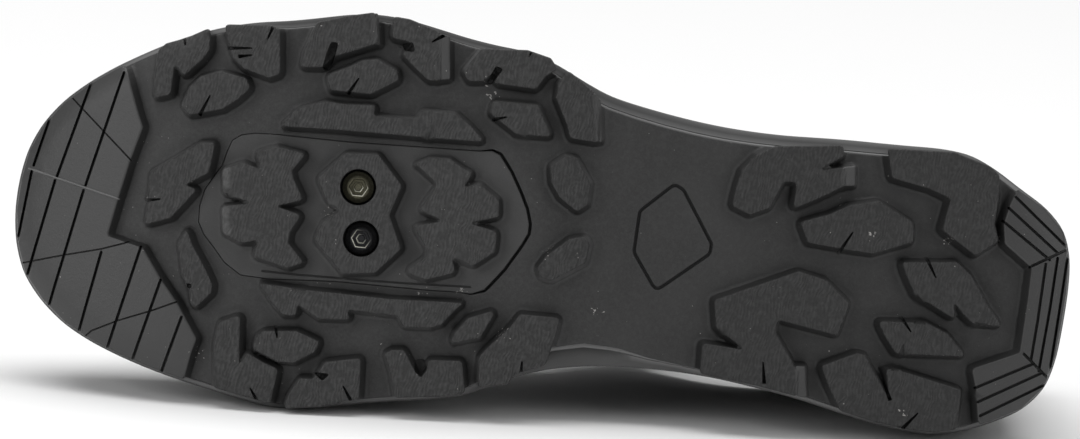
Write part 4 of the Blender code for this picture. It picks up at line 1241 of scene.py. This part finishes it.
def record(mesh, **values):
    """Keeps a number for each vertex, for the material."""
    for label, data in values.items():
        attribute = mesh.attributes.new(label, "FLOAT", "POINT")
        attribute.data.foreach_set("value", np.asarray(data, np.float32))


def distances(places, others):
    """How far each place is from the nearest of the others."""
    tree = kdtree.KDTree(len(others))
    for i, other in enumerate(others):
        tree.insert(other, i)
    tree.balance()
    return np.array([tree.find(place)[2] for place in places])


def cloth(name, colour, weave, sheen):
    """Woven or knitted cloth, with threads about weave metres apart."""
    fabric = Finish(name, roughness=0.85, sheen_weight=sheen, sheen_roughness=0.5)
    lengthwise, crosswise, inwards = (fabric.along(way) for way in (ALONG, ACROSS, INWARD))
    warp = fabric.waves(lengthwise + inwards, weave)
    weft = fabric.waves(crosswise - inwards * 0.6, weave)
    threads = warp * weft
    fluff = fabric.noise(weave * 0.7, 2.0)
    cloud = fabric.noise(18 * MM, 3.0)
    dark = tuple(c * 0.62 for c in colour[:3]) + (1.0,)
    fabric.paint(
        base_color=fabric.mixed(threads * 0.25 + fluff * 0.5 + cloud * 0.3, dark, colour),
        normal=fabric.raised(threads * (weave * 0.10) + fluff * (weave * 0.10)),
    )
    return fabric.material


insole_mesh, _ = finer_mesh("insole", 1)
insole = linked("insole_sheet", insole_mesh, cloth("insole_cloth", grey(0.075), 0.9 * MM, 0.3))
insole_mesh.shade_smooth()
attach(insole, "root")
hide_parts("insole")


# The upper is one black shell of coated microfibre, lasted onto the midsole. Thicker panels are
# welded on at the toe, heel, sides and throat, with two rows of stitches along them. Knitted
# mesh shows between them, and the collar is padded and lined.
TOE_CAP_END = -96 * MM
HEEL_CUP_START = 88 * MM
RAND_HEIGHT = 12 * MM
STAY_WIDTH = 14 * MM
COLLAR_WIDTH = 17 * MM
PANEL_RAISE = 0.75 * MM
COLLAR_RAISE = 1.7 * MM
PANEL_EDGE = 0.9 * MM
COLLAR_START, COLLAR_FULL = 26 * MM, 40 * MM
COLLAR_SWELL = 9 * MM
TOE_CAP_POINT = 7 * MM
TOE_CAP_SLANT = 0.32
HEEL_CUP_LEVEL = 30 * MM
HEEL_CUP_SLANT = 0.55
RAND_TOE_RISE = 3 * MM
STAY_FRONT = -88 * MM
# Bars on the side: half width in mm, place along the foot in mm, and how they slant
SIDE_BARS = [(6.5, 32, -0.9), (5.5, -22, 0.5)]
SIDE_BAR_LEVEL = 20 * MM
# Middle of the foot inside the upper: along, across and above the midsole, and how much each
# of these counts when the shell's outer face is told from its inner one
FOOT_MIDDLE = (5 * MM, 2 * MM, 22 * MM)
FOOT_WEIGHTS = (0.25, 1.0, 0.8)


def seat_level(x):
    """Top of the midsole, where the upper starts."""
    return tread_level(x) + LUG_HEIGHT + OUTSOLE_BASE + LAYER_GAP + midsole_thickness(x)


upper_mesh, rim = finer_mesh("upper", 3)
places, normals = points_of(upper_mesh)
x, y, z = places.T
high = z - seat_level(x)

# The shell's outer face looks away from the middle of the foot. The rim runs round the collar
# and the throat.
from_rim = distances(places, rim[rim[:, 2] - seat_level(rim[:, 0]) > 9 * MM])
from_middle = (np.column_stack([x, y, high]) - FOOT_MIDDLE) * FOOT_WEIGHTS
outward = (normals * from_middle).sum(axis=1) > 0
outside = outward.astype(float)

# How far inside each panel's edge a place is
wave = np.sin(x / (19 * MM)) * 1.8 * MM + np.sin(x / (41 * MM) + 1.0) * 2.0 * MM
toe_rise = soften_step(-x, 20 * MM, 110 * MM) * RAND_TOE_RISE
in_toe_cap = TOE_CAP_END + TOE_CAP_POINT - np.abs(y) * TOE_CAP_SLANT - x
in_heel_cup = x - HEEL_CUP_START - (high - HEEL_CUP_LEVEL) * HEEL_CUP_SLANT
in_rand = RAND_HEIGHT + wave + toe_rise - high
in_stay = STAY_WIDTH + wave * 0.4 - from_rim
in_bars = [
    half * MM - np.abs(x - place * MM - (high - SIDE_BAR_LEVEL) * slant)
    for half, place, slant in SIDE_BARS
]

toe_cap, heel_cup, rand, stay, *side_bars = (
    soften_step(inside, 0, PANEL_EDGE) for inside in (in_toe_cap, in_heel_cup, in_rand, in_stay, *in_bars)
)
at_collar = soften_step(x, COLLAR_START, COLLAR_FULL)
stay = stay * (1 - at_collar) * soften_step(x, STAY_FRONT, STAY_FRONT + 4 * MM)
collar = soften_step(COLLAR_WIDTH - from_rim, 0, COLLAR_SWELL) * at_collar
panel = np.maximum.reduce([toe_cap, heel_cup, rand, stay, *side_bars]) * outside
raise_by = panel * PANEL_RAISE + collar * COLLAR_RAISE * np.where(outward, 1.0, 0.55)
raise_by *= soften_step(from_rim, 0.5 * MM, 3 * MM) * soften_step(high, 0.2 * MM, 2.0 * MM)
reshape(upper_mesh, places + normals * raise_by[:, None])
record(upper_mesh, panel=panel, rand=rand * outside, inside=1 - outside, collar=collar)
upper_mesh.shade_smooth()

shell = Finish("upper_microfibre", sheen_weight=0.05, coat_roughness=0.35)
is_panel, is_inside = shell.attribute("panel"), shell.attribute("inside")
is_rand, is_collar = shell.attribute("rand"), shell.attribute("collar")
knit = shell.cells(2.1 * MM).rise(0.02, 0.30)
pebbles = shell.cells(0.95 * MM).rise(0.0, 0.35)
grain = shell.noise(0.5 * MM, 2.0)
clouds = shell.noise(22 * MM, 4.0)
mesh_colour = shell.mixed(knit, grey(0.006), grey(0.030))
panel_colour = shell.mixed(clouds, grey(0.018), grey(0.027))
rand_colour = shell.mixed(clouds, grey(0.026), grey(0.036))
lining_colour = shell.mixed(grain, grey(0.020), grey(0.045))
colour = shell.mixed(is_panel, mesh_colour, panel_colour)
colour = shell.mixed(is_rand, colour, rand_colour)
colour = shell.mixed(is_collar, colour, lining_colour)
colour = shell.mixed(is_inside, colour, lining_colour)
flat = (1 - is_panel) * (1 - is_inside) * (1 - is_collar)
shell.paint(
    base_color=colour,
    roughness=is_panel * -0.32 + is_rand * 0.10 + grain * 0.08 + 0.78,
    normal=shell.raised(
        flat * knit * (0.20 * MM) + is_panel * (1 - is_rand) * pebbles * (0.035 * MM)
        + is_inside * grain * (0.10 * MM) + is_collar * grain * (0.08 * MM) + grain * (0.012 * MM)
    ),
)
upper = linked("upper_shell", upper_mesh, shell.material)
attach(upper, "root")
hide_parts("upper")

# Stitches: short bars of waxed thread in rows that keep a distance from each panel's edge
STITCH_LENGTH = 2.3 * MM
STITCH_GAP = 0.9 * MM
THREAD_RADIUS = 0.27 * MM
THREAD_SIDES = 6
# A stitch from end to end: share of its length, thickness and lift, as shares of the thread's
STITCH_SHAPE = [
    (-0.5, 0.25, -0.35), (-0.36, 0.85, 0.25), (0.0, 1.0, 0.55), (0.36, 0.85, 0.25), (0.5, 0.25, -0.35),
]


def level_lines(mesh, values, allowed):
    """Lines on a mesh where a number for each vertex passes 0, as points in the room."""
    crossings, segments = {}, []
    coords = np.zeros(len(mesh.vertices) * 3)
    mesh.vertices.foreach_get("co", coords)
    coords = coords.reshape(-1, 3)
    positive = values > 0
    for polygon in mesh.polygons:
        verts = polygon.vertices[:]
        state = positive[list(verts)]
        if state.all() or not state.any() or not allowed[list(verts)].all():
            continue
        ends = []
        for a, b in zip(verts, verts[1:] + verts[:1]):
            if positive[a] != positive[b]:
                key = (min(a, b), max(a, b))
                if key not in crossings:
                    first, second = key
                    share = values[first] / (values[first] - values[second])
                    crossings[key] = coords[first] + (coords[second] - coords[first]) * share
                ends.append(key)
        if len(ends) == 2:
            segments.append((ends, polygon.normal[:]))
    touching = {}
    for ends, normal in segments:
        for end, other in (ends, ends[::-1]):
            touching.setdefault(end, []).append((other, normal))
    lines = []
    while touching:
        open_ends = (end for end, others in touching.items() if len(others) == 1)
        key = next(open_ends, next(iter(touching)))
        line = []
        while key in touching:
            others = touching.pop(key)
            ahead = [pair for pair in others if pair[0] in touching]
            line.append((crossings[key], others[0][1]))
            if not ahead:
                break
            key = ahead[0][0]
        if len(line) > 6:
            lines.append(line)
    return lines


def sewn(name, lines, material):
    """Stitches along lines on a surface, joined into one piece."""
    bm = bmesh.new()
    for line in lines:
        points = np.array([point for point, _ in line])
        outs = np.array([normal for _, normal in line])
        lengths = np.concatenate([[0], np.cumsum(np.linalg.norm(np.diff(points, axis=0), axis=1))])
        count = int(lengths[-1] / (STITCH_LENGTH + STITCH_GAP))
        for k in range(count):
            middle = (k + 0.5) / count * lengths[-1]
            places = [middle + STITCH_LENGTH * share for share, _, _ in STITCH_SHAPE]
            spine = np.column_stack([np.interp(places, lengths, points[:, c]) for c in range(3)])
            if spine[:, 2].min() < 2 * THREAD_RADIUS:
                continue
            out = np.array([np.interp(middle, lengths, outs[:, c]) for c in range(3)])
            out /= max(np.linalg.norm(out), 1e-9)
            run = spine[-1] - spine[0]
            side = np.cross(run, out)
            side /= max(np.linalg.norm(side), 1e-9)
            rings = []
            for place, (_, size, lift) in zip(spine, STITCH_SHAPE):
                ring = circle((0, 0), THREAD_RADIUS * size, THREAD_SIDES) @ np.array([side, out])
                rings.append([bm.verts.new(place + out * THREAD_RADIUS * lift + point) for point in ring])
            wall(bm, rings)
            bm.faces.new(rings[0])
            bm.faces.new(rings[-1][::-1])
    piece = finished(bm, name, material)
    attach(piece, "root")


thread = Finish("waxed_thread", roughness=0.5)
twist = thread.noise(0.3 * MM, 2.0)
thread.paint(
    base_color=thread.mixed(twist, grey(0.045), grey(0.085)),
    normal=thread.raised(twist * (0.03 * MM)),
)
allowed = outward & (from_rim > 2.5 * MM)
on_stay = allowed & (x < COLLAR_START) & (x > STAY_FRONT + 4 * MM) & (high > 14 * MM)
seams = []
for line, where in (
    (in_toe_cap - 3.0 * MM, allowed & (high > 16 * MM)),
    (in_toe_cap - 5.2 * MM, allowed & (high > 16 * MM)),
    (in_heel_cup - 3.0 * MM, allowed & (high > 14 * MM)),
    (in_stay - 2.6 * MM, on_stay),
    (from_rim - 4.0 * MM, allowed & (x < 24 * MM) & (x > -90 * MM) & (high > 3 * MM)),
    (from_rim - COLLAR_WIDTH, allowed & (x > 42 * MM) & (high > 14 * MM)),
):
    seams += level_lines(upper_mesh, line, where)
sewn("upper_stitches", seams, thread.material)


# The tongue is padded cloth, sewn shut round its edge and faintly ribbed across. It is fixed to
# the upper at the front of the throat and lies under the straps.
RIB_PITCH = 3.2 * MM
RIB_HEIGHT = 0.10 * MM
tongue_mesh, _ = finer_mesh("tongue", 3)
places, normals = points_of(tongue_mesh)
ripple = np.sin(places[:, 0] / RIB_PITCH) * RIB_HEIGHT
reshape(tongue_mesh, places + normals * ripple[:, None])
tongue_mesh.shade_smooth()
tongue = linked("tongue_pad", tongue_mesh, cloth("tongue_cloth", grey(0.040), 1.2 * MM, 0.35))
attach(tongue, "root")
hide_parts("tongue")


# Three straps of coated webbing close the throat. Each is sewn round its edge, and its loose end
# grips with hook and loop.
STRAP_SEAM = 2.4 * MM
SEAM_WIDTH = 0.9 * MM
SEAM_DENT = 0.15 * MM
webbing = Finish("strap_webbing", roughness=0.55, sheen_weight=0.08)
ribs = webbing.waves(webbing.along(ALONG), 1.1 * MM)
fibre = webbing.noise(0.5 * MM, 3.0)
cloud = webbing.noise(15 * MM, 3.0)
webbing.paint(
    base_color=webbing.mixed(ribs * 0.3 + fibre * 0.5 + cloud * 0.3, grey(0.016), grey(0.040)),
    normal=webbing.raised(ribs * (0.05 * MM) + fibre * (0.04 * MM)),
)
for name in ("strap_lower", "strap_middle", "strap_upper"):
    strap_mesh, rim = finer_mesh(name, 3)
    places, normals = points_of(strap_mesh)
    from_rim = distances(places, rim)
    outward = normals[:, 1] * places[:, 1] + normals[:, 2] * 30 * MM > 0
    seams = level_lines(strap_mesh, from_rim - STRAP_SEAM, outward)
    dent = soften_step(np.abs(from_rim - STRAP_SEAM), SEAM_WIDTH, 0.0) * SEAM_DENT
    reshape(strap_mesh, places - normals * dent[:, None])
    strap_mesh.shade_smooth()
    strap = linked(name + "_band", strap_mesh, webbing.material)
    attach(strap, "root")
    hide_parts(name)
    sewn(name + "_stitches", seams, thread.material)


# Soft studio light: two large soft boxes before the sole, one at each end of the shoe, and one
# above it, with an even pale surround.
STUDIO_GLOW = 0.22


def soft_box(name, place, size, power):
    light = bpy.data.lights.new(name, "AREA")
    light.shape = "RECTANGLE"
    light.size, light.size_y = size
    light.energy = power
    lamp = bpy.data.objects.new(name, light)
    bpy.context.scene.collection.objects.link(lamp)
    lamp.visible_camera = False
    lamp.location = place
    lamp.rotation_euler = (aim - Vector(place)).to_track_quat("-Z", "Y").to_euler()


soft_box("toe_side_light", (-0.62, -0.55, 0.38), (0.5, 0.5), 2.1)
soft_box("heel_side_light", (0.62, -0.55, 0.38), (0.5, 0.5), 1.25)
soft_box("top_light", (0.0, 0.3, 2.4), (3.0, 2.2), 68)
world = bpy.data.worlds.new("studio")
world.use_nodes = True
surround = world.node_tree.nodes["Background"]
surround.inputs["Color"].default_value = (1, 1, 1, 1)
surround.inputs["Strength"].default_value = STUDIO_GLOW
bpy.context.scene.world = world
bpy.context.scene.view_settings.view_transform = "Standard"
